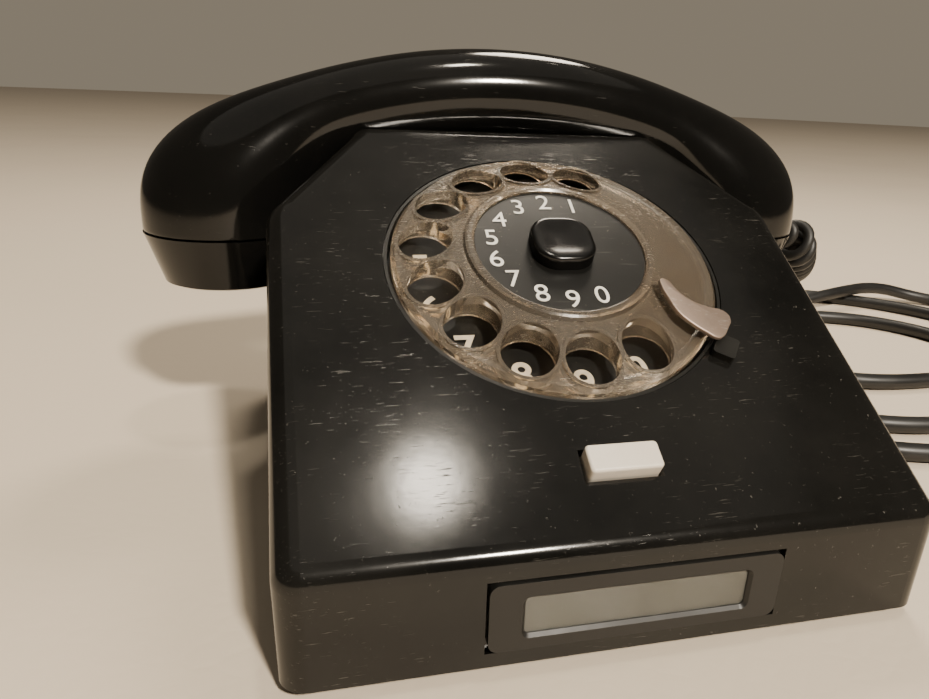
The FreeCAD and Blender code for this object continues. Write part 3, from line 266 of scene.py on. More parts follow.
# ---------------------------------------------------------------- finishes
def worn_gloss(name, colour, rough, scratch, dust, wear, dust_colour=DUST_GREY, reach=0.5, line_scale=60.0):
    """A polished moulding with hairlines, dust and uneven wear."""
    material, tree, shader = new_material(name, Specular_IOR_Level=0.4)
    lines = effect(tree, "scratches", Scale=line_scale, Reach=reach)
    specks = effect(tree, "dust", Scale=900.0, Cover=dust)
    worn = effect(tree, "blotches", Scale=20.0)
    veil = arithmetic(tree, "MULTIPLY", worn, wear * 0.12)
    marks = arithmetic(tree, "MULTIPLY", lines, scratch)
    tint = arithmetic(tree, "MAXIMUM", arithmetic(tree, "MULTIPLY", marks, 0.6), veil)
    plain = blend_colours(tree, tint, colour, DUST_GREY)
    dusted = blend_colours(tree, arithmetic(tree, "MULTIPLY", specks, 0.8), plain, dust_colour)
    feed(tree, shader, "Base Color", dusted)
    uneven = arithmetic(tree, "ADD", rough, arithmetic(tree, "MULTIPLY", worn, wear * 0.2))
    rougher = arithmetic(tree, "ADD", uneven, arithmetic(tree, "MULTIPLY", marks, 0.3))
    roughest = arithmetic(tree, "ADD", rougher, arithmetic(tree, "MULTIPLY", specks, 0.4))
    feed(tree, shader, "Roughness", roughest)
    waves = noise(tree, object_points(tree), 240.0, 2.0)
    height = arithmetic(tree, "SUBTRACT", arithmetic(tree, "MULTIPLY", waves, 0.6), marks)
    relief(tree, shader, height, 0.00004)
    return material


def yellowed_acrylic():
    """Clear acrylic gone tan, milky in patches, with fine scratches and brown specks."""
    material, tree, shader = new_material("yellowed_acrylic", Transmission_Weight=0.93, IOR=1.49)
    lines = effect(tree, "scratches", Scale=240.0, Reach=0.7)
    milk = effect(tree, "blotches", Scale=26.0)
    specks = effect(tree, "dust", Scale=900.0, Cover=0.45)
    tint = blend_colours(tree, milk, (0.74, 0.6, 0.44), (0.86, 0.77, 0.65))
    lined = blend_colours(tree, arithmetic(tree, "MULTIPLY", lines, 0.5), tint, (0.92, 0.88, 0.8))
    dirty = blend_colours(tree, arithmetic(tree, "MULTIPLY", specks, 0.7), lined, (0.16, 0.09, 0.04))
    feed(tree, shader, "Base Color", dirty)
    smooth = arithmetic(tree, "ADD", 0.09, arithmetic(tree, "MULTIPLY", milk, 0.16))
    feed(tree, shader, "Roughness", arithmetic(tree, "ADD", smooth, arithmetic(tree, "MULTIPLY", lines, 0.3)))
    relief(tree, shader, lines, 0.00002, 0.3)
    return material


def clear_sheet():
    material, tree, shader = new_material("clear_pane", Transmission_Weight=0.95, IOR=1.49)
    smears = effect(tree, "blotches", Scale=70.0)
    feed(tree, shader, "Base Color", blend_colours(tree, smears, (0.95, 0.95, 0.92), (0.8, 0.79, 0.72)))
    feed(tree, shader, "Roughness", between(tree, smears, 0.0, 1.0, 0.04, 0.2))
    relief(tree, shader, effect(tree, "scratches", Scale=80.0, Reach=0.5), 0.00002, 0.3)
    return material


def plated(name, colour, tarnish, rough, metallic=1.0):
    """Plated or drawn metal with tarnish in patches."""
    material, tree, shader = new_material(name, Metallic=metallic)
    patches = effect(tree, "blotches", Scale=60.0)
    lines = effect(tree, "scratches", Scale=120.0, Reach=0.7)
    tint = blend_colours(tree, arithmetic(tree, "MULTIPLY", patches, 0.6), colour, tarnish)
    lined = blend_colours(tree, arithmetic(tree, "MULTIPLY", lines, 0.4), tint, (0.85, 0.82, 0.78))
    feed(tree, shader, "Base Color", lined)
    dulled = arithmetic(tree, "ADD", rough, arithmetic(tree, "MULTIPLY", patches, 0.18))
    feed(tree, shader, "Roughness", dulled)
    relief(tree, shader, lines, 0.00002, 0.4)
    return material


def moulded(name, colour, second, rough, grain=500.0, depth=0.00003, spread=0.5):
    """A plain moulding, card or rubber: two close colours in patches, with a fine grain."""
    material, tree, shader = new_material(name)
    patches = effect(tree, "blotches", Scale=40.0)
    specks = effect(tree, "dust", Scale=600.0, Cover=0.5)
    tint = blend_colours(tree, arithmetic(tree, "MULTIPLY", patches, spread), colour, second)
    dusted = blend_colours(tree, arithmetic(tree, "MULTIPLY", specks, 0.3), tint, second)
    feed(tree, shader, "Base Color", dusted)
    dulled = arithmetic(tree, "ADD", rough, arithmetic(tree, "MULTIPLY", patches, 0.12))
    feed(tree, shader, "Roughness", dulled)
    relief(tree, shader, noise(tree, object_points(tree), grain, 3.0), depth, 0.5)
    return material


def wound_wire(name, colour, groove_shade, turns, axis):
    """Fine turns of wire as bands along one axis of the piece, with painted shade in the grooves between the
    turns.
    """
    material, tree, shader = new_material(name, Metallic=0.6)
    parted = place(tree, "ShaderNodeSeparateXYZ", Vector=object_points(tree)).outputs[axis]
    wave = arithmetic(tree, "SINE", arithmetic(tree, "MULTIPLY", parted, turns * math.tau), 0.0)
    band = between(tree, wave, -1.0, 1.0)
    # The darker band colour is painted shade in the grooves between the turns of wire, not a colour of the
    # copper.
    feed(tree, shader, "Base Color", blend_colours(tree, band, groove_shade, colour))
    feed(tree, shader, "Roughness", between(tree, band, 0.0, 1.0, 0.55, 0.3))
    relief(tree, shader, band, 0.0001, 0.7)
    return material


FINISHES = {}


def finish_for(slot):
    """The finish of one of the record's slots, made when it is first asked for."""
    makers = {
        "housing_black": lambda: worn_gloss("housing_phenolic", (0.0035, 0.0035, 0.0032), 0.11, 0.55, 0.42,
                                            0.3, reach=0.52, line_scale=160.0),
        "handset_black": lambda: worn_gloss("handset_phenolic", (0.003, 0.003, 0.0028), 0.09, 0.35, 0.25,
                                            0.15, reach=0.3, line_scale=120.0),
        "clear_wheel": yellowed_acrylic,
        "clear_pane": clear_sheet,
        "dial_black": lambda: worn_gloss("dial_satin", (0.005, 0.005, 0.0045), 0.3, 0.5, 0.45, 0.4,
                                         (0.3, 0.26, 0.2)),
        "knob_black": lambda: worn_gloss("knob_gloss", (0.003, 0.003, 0.003), 0.16, 0.5, 0.3, 0.4),
        "key_white": lambda: moulded("key_ivory", (0.78, 0.72, 0.63), (0.5, 0.38, 0.26), 0.28,
                                     300.0, 0.00001, 0.25),
        "frame_black": lambda: moulded("frame_satin", (0.006, 0.006, 0.0055), (0.016, 0.015, 0.013), 0.42,
                                       700.0, 0.00001),
        "card": lambda: moulded("label_paper", (0.055, 0.055, 0.044), (0.034, 0.032, 0.025), 0.8,
                                1200.0, 0.000006, 0.6),
        "stop_metal": lambda: plated("stop_nickel", (0.5, 0.4, 0.34), (0.26, 0.18, 0.13), 0.36, 0.85),
        "steel": lambda: plated("zinc_steel", (0.55, 0.55, 0.56), (0.4, 0.38, 0.34), 0.32),
        "brass": lambda: plated("contact_brass", (0.78, 0.6, 0.28), (0.5, 0.34, 0.16), 0.3),
        # The winding's second, darker colour is painted shade between its turns.
        "copper_wire": lambda: wound_wire("copper_winding", (0.72, 0.3, 0.14), (0.22, 0.08, 0.04), 2200.0, 1),
        "gong_metal": lambda: plated("gong_nickel", (0.75, 0.74, 0.7), (0.5, 0.48, 0.42), 0.14),
        "capacitor_case": lambda: plated("drawn_can", (0.7, 0.7, 0.7), (0.52, 0.52, 0.5), 0.3),
        "phenolic": lambda: moulded("brown_phenolic", (0.16, 0.07, 0.04), (0.09, 0.04, 0.025), 0.42),
        "capsule": lambda: plated("capsule_aluminium", (0.62, 0.62, 0.6), (0.45, 0.44, 0.4), 0.34),
        "foot_rubber": lambda: moulded("foot_rubber", (0.02, 0.02, 0.02), (0.05, 0.046, 0.04), 0.72),
        "cord_black": lambda: moulded("cord_sheath", (0.008, 0.008, 0.008), (0.018, 0.017, 0.015), 0.4,
                                      300.0, 0.00002),
        "gland_rubber": lambda: moulded("gland_rubber", (0.012, 0.012, 0.012), (0.03, 0.028, 0.025), 0.5),
        "plug_black": lambda: worn_gloss("plug_moulding", (0.012, 0.012, 0.012), 0.28, 0.4, 0.4, 0.5),
    }
    if slot not in FINISHES:
        FINISHES[slot] = makers[slot]()
    return FINISHES[slot]


def coat_node(node, slot):
    dress(NODES[node], finish_for(slot))


# ---------------------------------------------------------------- sizes that a user may change
class TelephoneStage(bpy.types.PropertyGroup):
    floor_radius: bpy.props.FloatProperty(name="Floor radius", description="Pale floor round the telephone",
                                          default=6.0, min=0.5, unit="LENGTH")
    floor_colour: bpy.props.FloatVectorProperty(name="Floor colour", description="Colour of the floor",
                                                default=(0.72, 0.62, 0.49), subtype="COLOR", min=0, max=1)
    room_colour: bpy.props.FloatVectorProperty(name="Room", description="Light from the room all round",
                                               default=(0.075, 0.064, 0.05), subtype="COLOR", min=0, max=1)
    distance_colour: bpy.props.FloatVectorProperty(name="Distance", description="What shows past the floor",
                                                   default=(0.235, 0.2, 0.15), subtype="COLOR", min=0, max=1)
    key_power: bpy.props.FloatProperty(name="Key light", default=185.0, min=0, unit="POWER",
                                       description="Power of the light from the front right")
    lamp_power: bpy.props.FloatProperty(name="Ceiling lamp", description="Power of the lamp overhead",
                                        default=2.4, min=0, unit="POWER")
    bounce: bpy.props.FloatProperty(name="Ceiling", description="Strength of the soft light off the ceiling",
                                    default=0.28, min=0)


class TelephoneCords(bpy.types.PropertyGroup):
    line_diameter: bpy.props.FloatProperty(name="Line cord", description="Diameter of the cord to the wall",
                                           default=0.0062, min=0.003, max=0.012, unit="LENGTH")
    wire_diameter: bpy.props.FloatProperty(name="Curly wire", default=0.0042, min=0.002, max=0.006,
                                           description="Diameter of the curly cord's own wire", unit="LENGTH")
    coil_radius: bpy.props.FloatProperty(name="Coil radius", default=0.0058, min=0.004, max=0.0062,
                                         description="Coil's axis to the middle of its wire", unit="LENGTH")
    coil_pitch: bpy.props.FloatProperty(name="Coil pitch", description="Cord length that each turn takes up",
                                        default=0.0049, min=0.0045, max=0.02, unit="LENGTH")


class TelephoneHandset(bpy.types.PropertyGroup):
    mouth_radius: bpy.props.FloatProperty(name="Cup radius", description="Radius of each cup at its seam",
                                          default=0.0235, min=0.015, max=0.03, unit="LENGTH")
    wall: bpy.props.FloatProperty(name="Wall", description="Wall of the cups at their seam",
                                  default=0.0029, min=0.001, max=0.006, unit="LENGTH")


class TelephoneDial(bpy.types.PropertyGroup):
    figure_height: bpy.props.FloatProperty(name="Disc figures", default=0.0056, min=0.002, max=0.008,
                                           description="Height of the figures on the disc", unit="LENGTH")
    ring_height: bpy.props.FloatProperty(name="Ring figures", default=0.0075, min=0.003, max=0.01,
                                         description="Height of the figures under the holes", unit="LENGTH")
    figure_colour: bpy.props.FloatVectorProperty(name="Figure colour", default=(0.88, 0.86, 0.8), min=0,
                                                 max=1, description="Colour of the disc's figures",
                                                 subtype="COLOR")
    ring_colour: bpy.props.FloatVectorProperty(name="Ring colour", description="Colour of the ring's figures",
                                               default=(0.66, 0.57, 0.42), subtype="COLOR", min=0, max=1)


# ---------------------------------------------------------------- stage
# Each lamp's diameter in metres, and the back lamp's power as a share of the ceiling lamp's.
KEY_SIZE = 0.3
LAMP_SIZE = 0.09
BACK_SIZE = 0.26
BACK_SHARE = 1.7


def add_area_light(name, spot, target, power, size, colour):
    bpy.ops.object.light_add(type="AREA", location=spot)
    lamp = bpy.context.object
    lamp.name = name
    lamp.data.energy = power
    lamp.data.shape = "DISK"
    lamp.data.size = size
    lamp.data.color = colour
    lamp.rotation_euler = (Vector(target) - Vector(spot)).to_track_quat("-Z", "Y").to_euler()
    return lamp


def floor_finish(colour):
    """Pale hide-like covering with a soft grain."""
    material, tree, shader = new_material("pale_floor")
    broad = effect(tree, "blotches", Scale=6.0)
    feed(tree, shader, "Base Color", blend_colours(tree, arithmetic(tree, "MULTIPLY", broad, 0.3), colour,
                                                   [part * 0.93 for part in colour]))
    feed(tree, shader, "Roughness", between(tree, broad, 0.0, 1.0, 0.5, 0.62))
    cells = place(tree, "ShaderNodeTexVoronoi", Vector=object_points(tree), Scale=170.0)
    cells.feature = "DISTANCE_TO_EDGE"
    relief(tree, shader, between(tree, cells.outputs["Distance"], 0.0, 0.25), 0.00012, 0.25)
    return material


class TELEPHONE_OT_stage(bpy.types.Operator):
    """Add the floor, the lights and the camera"""

    bl_idname = "telephone.stage"
    bl_label = "Stage"

    def execute(self, context):
        sizes = context.scene.telephone_stage
        clear_selection()
        bpy.ops.mesh.primitive_circle_add(vertices=96, radius=sizes.floor_radius, fill_type="NGON",
                                          location=(HOME.x, HOME.y, -0.00005))
        floor = context.object
        floor.name = "floor"
        settle(floor)
        dress(floor, floor_finish(list(sizes.floor_colour)))
        add_area_light("key_light", at(724, -2352, 2179), at(-20, 20, 50), sizes.key_power, KEY_SIZE,
                       (1.0, 0.9, 0.76))
        add_area_light("ceiling_lamp", at(110, -74, 1126), at(0, 0, 50), sizes.lamp_power, LAMP_SIZE,
                       (1.0, 0.9, 0.75))
        clear_selection()
        bpy.ops.object.light_add(type="SUN", location=at(0, 0, 1500))
        context.object.name = "ceiling_bounce"
        context.object.data.energy = sizes.bounce
        context.object.data.angle = math.radians(70)
        context.object.data.color = (1.0, 0.92, 0.8)
        add_area_light("back_lamp", at(260, 520, 760), at(0, 20, 60), sizes.lamp_power * BACK_SHARE,
                       BACK_SIZE, (1.0, 0.88, 0.72))
        world = bpy.data.worlds.new("room")
        world.use_nodes = True
        tree = world.node_tree
        direct = tree.nodes.new("ShaderNodeLightPath").outputs["Is Camera Ray"]
        shade = blend_colours(tree, direct, sizes.room_colour, sizes.distance_colour)
        tree.links.new(shade, tree.nodes["Background"].inputs["Color"])
        context.scene.world = world
        right = Vector((0.96940, -0.24198, 0.04142))
        down = Vector((-0.05609, -0.38256, -0.92223))
        ahead = Vector((0.23901, 0.89168, -0.38443))
        bpy.ops.object.camera_add()
        camera = context.object
        camera.name = "camera"
        camera.matrix_world = Matrix.Translation(at(-60.02, -194.12, 106.72)) @ Matrix(
            (right, -down, -ahead)).transposed().to_4x4()
        camera.data.sensor_width = 36.0
        camera.data.lens = 28.84
        camera.data.shift_x = -0.0389
        camera.data.shift_y = 0.0558
        camera.data.clip_start = 0.01
        context.scene.camera = camera
        return {"FINISHED"}


# ---------------------------------------------------------------- cords
LINE_ROUTE = [
    (30, 108, 13), (30, 123, 13), (33, 141, 9.5), (44, 159, 5), (63, 172, 3.2), (92, 182, 3.2),
    (129, 190, 3.2), (170, 193, 3.2), (211, 184, 3.2), (247, 164, 3.2), (272, 134, 3.2), (283, 92, 3.2),
    (279, 50, 3.2), (250, 8, 3.2), (208, -14, 3.2), (165, -22, 3.2), (121, -16, 3.2), (91, 9, 3.2),
    (81, 50, 3.2), (84, 92, 3.2), (104, 131, 3.2), (142, 150, 3.2), (184, 152, 3.4), (224, 157, 9.9),
    (262, 170, 9.9), (290, 166, 3.4), (309, 143, 3.2), (317, 107, 3.2), (309, 71, 3.4), (287, 46, 9.9),
    (252, 24, 9.9), (220, 10, 3.4), (178, 1, 3.2), (134, 3, 3.2), (102, 28, 3.2), (92, 66, 3.2),
    (102, 104, 3.2), (127, 130, 3.2), (172, 140, 3.2), (214, 133, 3.2), (240, 105, 3.2), (242, 72, 3.2),
    (222, 47, 3.2), (190, 42, 3.2), (166, 42.5, 3.3), (148, 47, 3.8), (134, 57, 6), (128, 71, 8),
    (129, 84, 8),
]
CURLY_ROUTE = [
    (-34, 96, 13), (-34, 113, 13), (-32, 133, 10.5), (-23, 156, 8.4), (-4, 177, 8.3), (25, 194, 8.3),
    (59, 207, 8.3), (95, 218, 8.3), (130, 229, 8.3), (162, 236, 8.3), (187, 237, 9.2), (204, 226, 11.5),
    (211, 207, 15), (207, 184, 19), (191, 158, 24.5), (174, 130, 30.5), (158, 107, 36), (147, 89, 42),
    (138.5, 77, 49), (129, 70, 58), (116.8, 67.3, 66.3),
]
TURN_STEPS = 12
# The coil's straight ends, the stretch over which it widens from them, and its slack last stretch, in metres.
COIL_PLAIN = 0.006
COIL_RAMP = 0.012
COIL_SLACK = 0.03


def smooth_curve(name, points, resolution):
    """A curve of one smooth open spline with these control points."""
    data = bpy.data.curves.new(name, "CURVE")
    data.dimensions = "3D"
    spline = data.splines.new("NURBS")
    spline.points.add(len(points) - 1)
    for control, point in zip(spline.points, points):
        control.co = (*point, 1.0)
    spline.order_u = 3
    spline.use_endpoint_u = True
    spline.resolution_u = resolution
    curve = bpy.data.objects.new(name, data)
    bpy.context.scene.collection.objects.link(curve)
    return curve


def points_along(curve):
    mesh = bpy.data.meshes.new_from_object(curve)
    points = [vertex.co.copy() for vertex in mesh.vertices]
    bpy.data.meshes.remove(mesh)
    return points


def thicken(curve, radius, sides):
    curve.data.bevel_depth = radius
    curve.data.bevel_resolution = sides
    curve.data.use_fill_caps = True


def helix_points(line, radius, pitch, per_turn):
    """Points of a coil round a line, straight at both ends, and with its last turns pulled looser."""
    lengths = [0.0]
    for first, second in zip(line, line[1:]):
        lengths.append(lengths[-1] + (second - first).length)
    whole = lengths[-1]
    side = Vector((0, 0, 1))
    angle = 0.0
    index = 0
    found = [line[0].copy()]
    step = pitch / per_turn
    travelled = COIL_PLAIN
    while travelled < whole - COIL_PLAIN:
        while index < len(lengths) - 2 and lengths[index + 1] < travelled:
            index += 1
        share = (travelled - lengths[index]) / max(lengths[index + 1] - lengths[index], 1e-9)
        ahead = (line[index + 1] - line[index]).normalized()
        side = (side - ahead * side.dot(ahead)).normalized()
        spot = line[index].lerp(line[index + 1], share)
        room = min(travelled - COIL_PLAIN, whole - COIL_PLAIN - travelled)
        grown = min(1.0, room / COIL_RAMP)
        loose = max(0.0, 1.0 - (whole - travelled) / COIL_SLACK)
        reach = radius * grown * grown * (3 - 2 * grown) * (1 + 0.35 * loose)
        found.append(spot + (side * math.cos(angle) + ahead.cross(side) * math.sin(angle)) * reach)
        angle += math.tau / per_turn
        travelled += step * (1 + 0.9 * loose)
    found.append(line[-1].copy())
    return found


class TELEPHONE_OT_line_cord(bpy.types.Operator):
    """Lay the line cord in its loops, from its gland to its plug"""

    bl_idname = "telephone.line_cord"
    bl_label = "Line cord"

    def execute(self, context):
        sizes = context.scene.telephone_cords
        clear_selection()
        cord = smooth_curve("line_cord_sheath", [at(*point) for point in LINE_ROUTE], 12)
        thicken(cord, sizes.line_diameter / 2, 4)
        dress(cord, finish_for("cord_black"))
        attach(cord, "base")
        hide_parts("line_cord")
        coat_node("line_cord_gland", "gland_rubber")
        coat_node("plug", "plug_black")
        coat_node("plug_blades", "brass")
        return {"FINISHED"}


class TELEPHONE_OT_curly_cord(bpy.types.Operator):
    """Wind the curly cord between its gland and the handset"""

    bl_idname = "telephone.curly_cord"
    bl_label = "Curly cord"

    def execute(self, context):
        sizes = context.scene.telephone_cords
        clear_selection()
        route = smooth_curve("curly_route", [at(*point) for point in CURLY_ROUTE], 12)
        line = points_along(route)
        bpy.data.objects.remove(route)
        coil = helix_points(line, sizes.coil_radius, sizes.coil_pitch, TURN_STEPS)
        cord = smooth_curve("curly_cord_coil", coil, 2)
        thicken(cord, sizes.wire_diameter / 2, 2)
        dress(cord, finish_for("cord_black"))
        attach(cord, "base")
        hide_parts("curly_cord")
        coat_node("curly_cord_gland", "gland_rubber")
        coat_node("handset_grommet", "gland_rubber")
        return {"FINISHED"}


# ---------------------------------------------------------------- handset
# Each section of the handle from the left cup's seam to the middle: its outer and inner points, across and
# up, and half its depth, in millimetres.
SECTIONS = [
    ((-107.0, 65.1), (-60.0, 65.1), 23.5),
    ((-107.0, 65.7), (-60.0, 65.7), 23.5),
    ((-107.0, 71.5), (-59.9, 69.0), 23.4),
    ((-106.2, 78.0), (-59.3, 71.8), 23.1),
    ((-103.4, 85.0), (-58.0, 74.4), 22.3),
    ((-97.6, 91.9), (-56.0, 76.6), 20.8),
    ((-88.6, 98.2), (-53.6, 78.7), 18.8),
    ((-76.8, 103.4), (-51.0, 81.2), 16.4),
    ((-62.8, 108.0), (-47.8, 84.2), 14.3),
    ((-48.0, 112.4), (-41.2, 86.3), 13.6),
    ((-30.0, 116.2), (-25.7, 89.6), 13.5),
    ((-15.0, 118.0), (-12.9, 91.1), 13.5),
    ((0.0, 118.6), (0.0, 91.6), 13.5),
]
CUP_ACROSS = 83.5
# The handset's axis from front to back, and the heights of the hollow's roof and of the seam.
HANDSET_RUN = 48.0
HOLLOW_HEIGHTS = (76.0, 65.1)
SECTION_SIDES = 32
CAP_INSET = 0.006


class TELEPHONE_OT_handset(bpy.types.Operator):
    """Bridge the handset's sections from cup to cup"""

    bl_idname = "telephone.handset"
    bl_label = "Handset"

    def execute(self, context):
        sizes = context.scene.telephone_handset
        inner = (sizes.mouth_radius - sizes.wall) / MM
        hollow = [((-CUP_ACROSS - inner, height), (-CUP_ACROSS + inner, height), inner)
                  for height in HOLLOW_HEIGHTS]
        left = hollow + SECTIONS
        right = [((-a[0], a[1]), (-b[0], b[1]), depth) for a, b, depth in reversed(left[:-1])]
        body = None
        for outer, inside, depth in left + right:
            middle = at((outer[0] + inside[0]) / 2, HANDSET_RUN, (outer[1] + inside[1]) / 2)
            flat = Vector((outer[0] - inside[0], 0, outer[1] - inside[1]))
            if outer[0] > 0:
                flat = -flat
            clear_selection()
            bpy.ops.mesh.primitive_circle_add(vertices=SECTION_SIDES, radius=1.0, location=middle,
                                              rotation=(0, math.atan2(-flat.z, flat.x), 0))
            section = context.object
            section.scale = (flat.length / 2 * MM, depth * MM, 1.0)
            settle(section)
            if body is None:
                body = section
                continue
            body = join_pieces([body, section], "handset_body")
            bpy.ops.object.mode_set(mode="EDIT")
            last = len(body.data.vertices) - 2 * SECTION_SIDES
            select_in_mesh(body, lambda vertex: vertex.index >= last)
            bpy.ops.mesh.bridge_edge_loops()
            bpy.ops.object.mode_set(mode="OBJECT")
        pick(body)
        bpy.ops.object.mode_set(mode="EDIT")
        count = len(body.data.vertices)
        for first in (0, count - SECTION_SIDES):
            select_in_mesh(body, lambda vertex: first <= vertex.index < first + SECTION_SIDES)
            bpy.ops.mesh.edge_face_add()
            for _ in range(2):
                bpy.ops.mesh.inset(thickness=CAP_INSET)
        bpy.ops.object.mode_set(mode="OBJECT")
        finish_mesh(body, 60)
        if min(face.area for face in body.data.polygons) <= 0:
            raise RuntimeError("a section of the handset has folded flat")
        add_modifier(body, "SUBSURF", levels=2, render_levels=2)
        finish_mesh(body, 60)
        dress(body, finish_for("handset_black"))
        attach(body, "handset")
        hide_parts("handset_shell")
        for node in ("ear_cap", "mouth_cap"):
            coat_node(node, "handset_black")
        return {"FINISHED"}


# ---------------------------------------------------------------- dial
FIGURE_THICK = 0.00012
# A font's size over the height of its figures.
TEXT_SHARE = 1.38
# Each ring of figures: its radius and its height over the face in millimetres, where its 1 lies and the step
# to the next figure in degrees about the dial, and how much its strokes are thickened in metres.
DISC_RING = (17.3, 5.78, 67.0, 24.9, 0.0)
HOLE_RING = (33.4, -5.3, 67.7, 25.35, 0.0002)


def add_figure(name, text, height, across, up, out, bold):
    """A raised printed figure on the dial, upright and centred on its place."""
    clear_selection()
    bpy.ops.object.text_add(location=(0, 0, 0))
    figure = bpy.context.object
    figure.name = name
    figure.data.body = text
    figure.data.align_x = "CENTER"
    figure.data.align_y = "CENTER"
    figure.data.size = height * TEXT_SHARE
    figure.data.offset = bold
    figure.data.extrude = FIGURE_THICK / 2
    pick(figure)
    bpy.ops.object.convert(target="MESH")
    figure = bpy.context.object
    low = [min(vertex.co[axis] for vertex in figure.data.vertices) for axis in (0, 1)]
    high = [max(vertex.co[axis] for vertex in figure.data.vertices) for axis in (0, 1)]
    centred = Matrix.Translation((-(low[0] + high[0]) / 2, -(low[1] + high[1]) / 2, 0))
    figure.data.transform(dial_place(across, up, out) @ centred)
    return figure


def add_figure_ring(name, prefix, height, ring):
    """The ten figures of one ring, joined."""
    radius, out, first, step, bold = ring
    figures = []
    for index, digit in enumerate(DIGITS):
        angle = math.radians(first + step * index)
        figures.append(add_figure(prefix + digit, digit, height, radius * math.cos(angle),
                                  radius * math.sin(angle), out, bold))
    return join_pieces(figures, name)


def printed(name, colour, worn_colour):
    material, tree, shader = new_material(name)
    wear = effect(tree, "blotches", Scale=300.0)
    faded = blend_colours(tree, arithmetic(tree, "MULTIPLY", wear, 0.4), colour, worn_colour)
    feed(tree, shader, "Base Color", faded)
    feed(tree, shader, "Roughness", between(tree, wear, 0.0, 1.0, 0.45, 0.7))
    return material


# The stop's outline: along its lean from the dial's axis, and to its side, in millimetres.
STOP_OUTLINE = [
    (25.9, 0.3), (27.3, 1.1), (30.7, -0.1), (34.9, -0.4), (39.3, 1.0), (43.8, 2.8), (45.3, 1.9), (45.5, -1.4),
    (44.9, -5.1), (43.8, -6.3), (41.0, -6.7), (37.3, -6.8), (33.0, -6.1), (29.2, -3.5), (26.9, -1.5),
]


# The stop's turn about the dial and its lean in degrees, and its underside over the face in millimetres.
STOP_TURN = -33.5
STOP_LEAN = 13.5
STOP_RISE = 13.1
# The stop is a sheet with rolled edges: half the sheet, the roll, and how far it clears its seat, in metres.
STOP_SHEET = 0.0003
STOP_ROLL = 0.00025
STOP_GAP = 0.00001
# The knob's width, the heights of its underside and crown over the face, and how far it clears the disc, in
# millimetres.
KNOB_WIDTH = 15.5
KNOB_LOW = 5.7
KNOB_HIGH = 9.3
KNOB_GAP = 0.02
# The knob's corner and edge roundings, and the two steps of its dished top, in metres.
KNOB_CORNER = 0.0058
KNOB_EDGE = 0.0013
KNOB_RIMS = (0.0018, 0.0022)
KNOB_DISH = 0.00025


class TELEPHONE_OT_dial(bpy.types.Operator):
    """Print the dial's figures and finish its wheel, disc, ring and stop"""

    bl_idname = "telephone.dial"
    bl_label = "Dial"

    def execute(self, context):
        sizes = context.scene.telephone_dial
        disc_figures = add_figure_ring("disc_figures", "figure_", sizes.figure_height, DISC_RING)
        dress(disc_figures, printed("figure_paint", list(sizes.figure_colour), (0.3, 0.27, 0.22)))
        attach(disc_figures, "dial")
        ring_figures = add_figure_ring("ring_figures", "ring_figure_", sizes.ring_height, HOLE_RING)
        dress(ring_figures, printed("ring_paint", list(sizes.ring_colour), (0.25, 0.19, 0.12)))
        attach(ring_figures, "base")
        self.build_knob()
        self.build_stop()
        coat_node("finger_wheel", "clear_wheel")
        for node in ("number_disc", "dial_case", "number_ring", "stop_bracket"):
            coat_node(node, "dial_black")
        return {"FINISHED"}

    def build_stop(self):
        """The stop: a flat claw that narrows to its tip over the wheel and leans down with it."""
        clear_selection()
        data = bpy.data.curves.new("finger_stop_claw", "CURVE")
        data.dimensions = "2D"
        data.fill_mode = "BOTH"
        spline = data.splines.new("BEZIER")
        spline.bezier_points.add(len(STOP_OUTLINE) - 1)
        for control, (along, side) in zip(spline.bezier_points, STOP_OUTLINE):
            control.co = (along * MM, side * MM, 0)
            control.handle_left_type = control.handle_right_type = "AUTO"
        spline.use_cyclic_u = True
        data.resolution_u = 8
        data.extrude = STOP_SHEET
        data.bevel_depth = STOP_ROLL
        data.bevel_resolution = 2
        claw = bpy.data.objects.new("finger_stop_claw", data)
        bpy.context.scene.collection.objects.link(claw)
        pick(claw)
        bpy.ops.object.convert(target="MESH")
        claw = bpy.context.object
        turn = Matrix.Rotation(math.radians(STOP_TURN), 4, "Z")
        lean = Matrix.Rotation(math.radians(STOP_LEAN), 4, "Y")
        lift = Matrix.Translation((0, 0, STOP_SHEET + STOP_ROLL + STOP_GAP))
        claw.data.transform(dial_place(out=STOP_RISE) @ turn @ lean @ lift)
        finish_mesh(claw, 40)
        dress(claw, finish_for("stop_metal"))
        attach(claw, "base")
        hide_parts("finger_stop")

    def build_knob(self):
        """A square knob with rounded corners and a dished top."""
        clear_selection()
        tall = (KNOB_HIGH - KNOB_LOW) * MM
        bpy.ops.mesh.primitive_cube_add(size=1.0, scale=(KNOB_WIDTH * MM, KNOB_WIDTH * MM, tall))
        knob = bpy.context.object
        knob.name = "knob"
        settle(knob)
        bpy.ops.object.mode_set(mode="EDIT")
        bpy.ops.mesh.select_mode(type="EDGE")
        bpy.ops.mesh.select_all(action="DESELECT")
        bpy.ops.object.mode_set(mode="OBJECT")
        corners = knob.data.vertices
        for edge in knob.data.edges:
            edge.select = abs(corners[edge.vertices[0]].co.z - corners[edge.vertices[1]].co.z) > tall / 2
        bpy.ops.object.mode_set(mode="EDIT")
        bpy.ops.mesh.bevel(offset=KNOB_CORNER, segments=7, profile=0.5)
        select_in_mesh(knob, lambda face: face.normal.z > 0.9, "FACE")
        bpy.ops.mesh.bevel(offset=KNOB_EDGE, segments=4, profile=0.6)
        select_in_mesh(knob, lambda face: face.normal.z > 0.999 and face.area > 0.00004, "FACE")
        for rim in KNOB_RIMS:
            bpy.ops.mesh.inset(thickness=rim)
            bpy.ops.transform.translate(value=(0, 0, -KNOB_DISH))
        bpy.ops.object.mode_set(mode="OBJECT")
        knob.data.transform(dial_place(out=(KNOB_LOW + KNOB_HIGH) / 2 + KNOB_GAP))
        finish_mesh(knob, 50)
        dress(knob, finish_for("knob_black"))
        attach(knob, "dial")
        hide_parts("centre_knob")


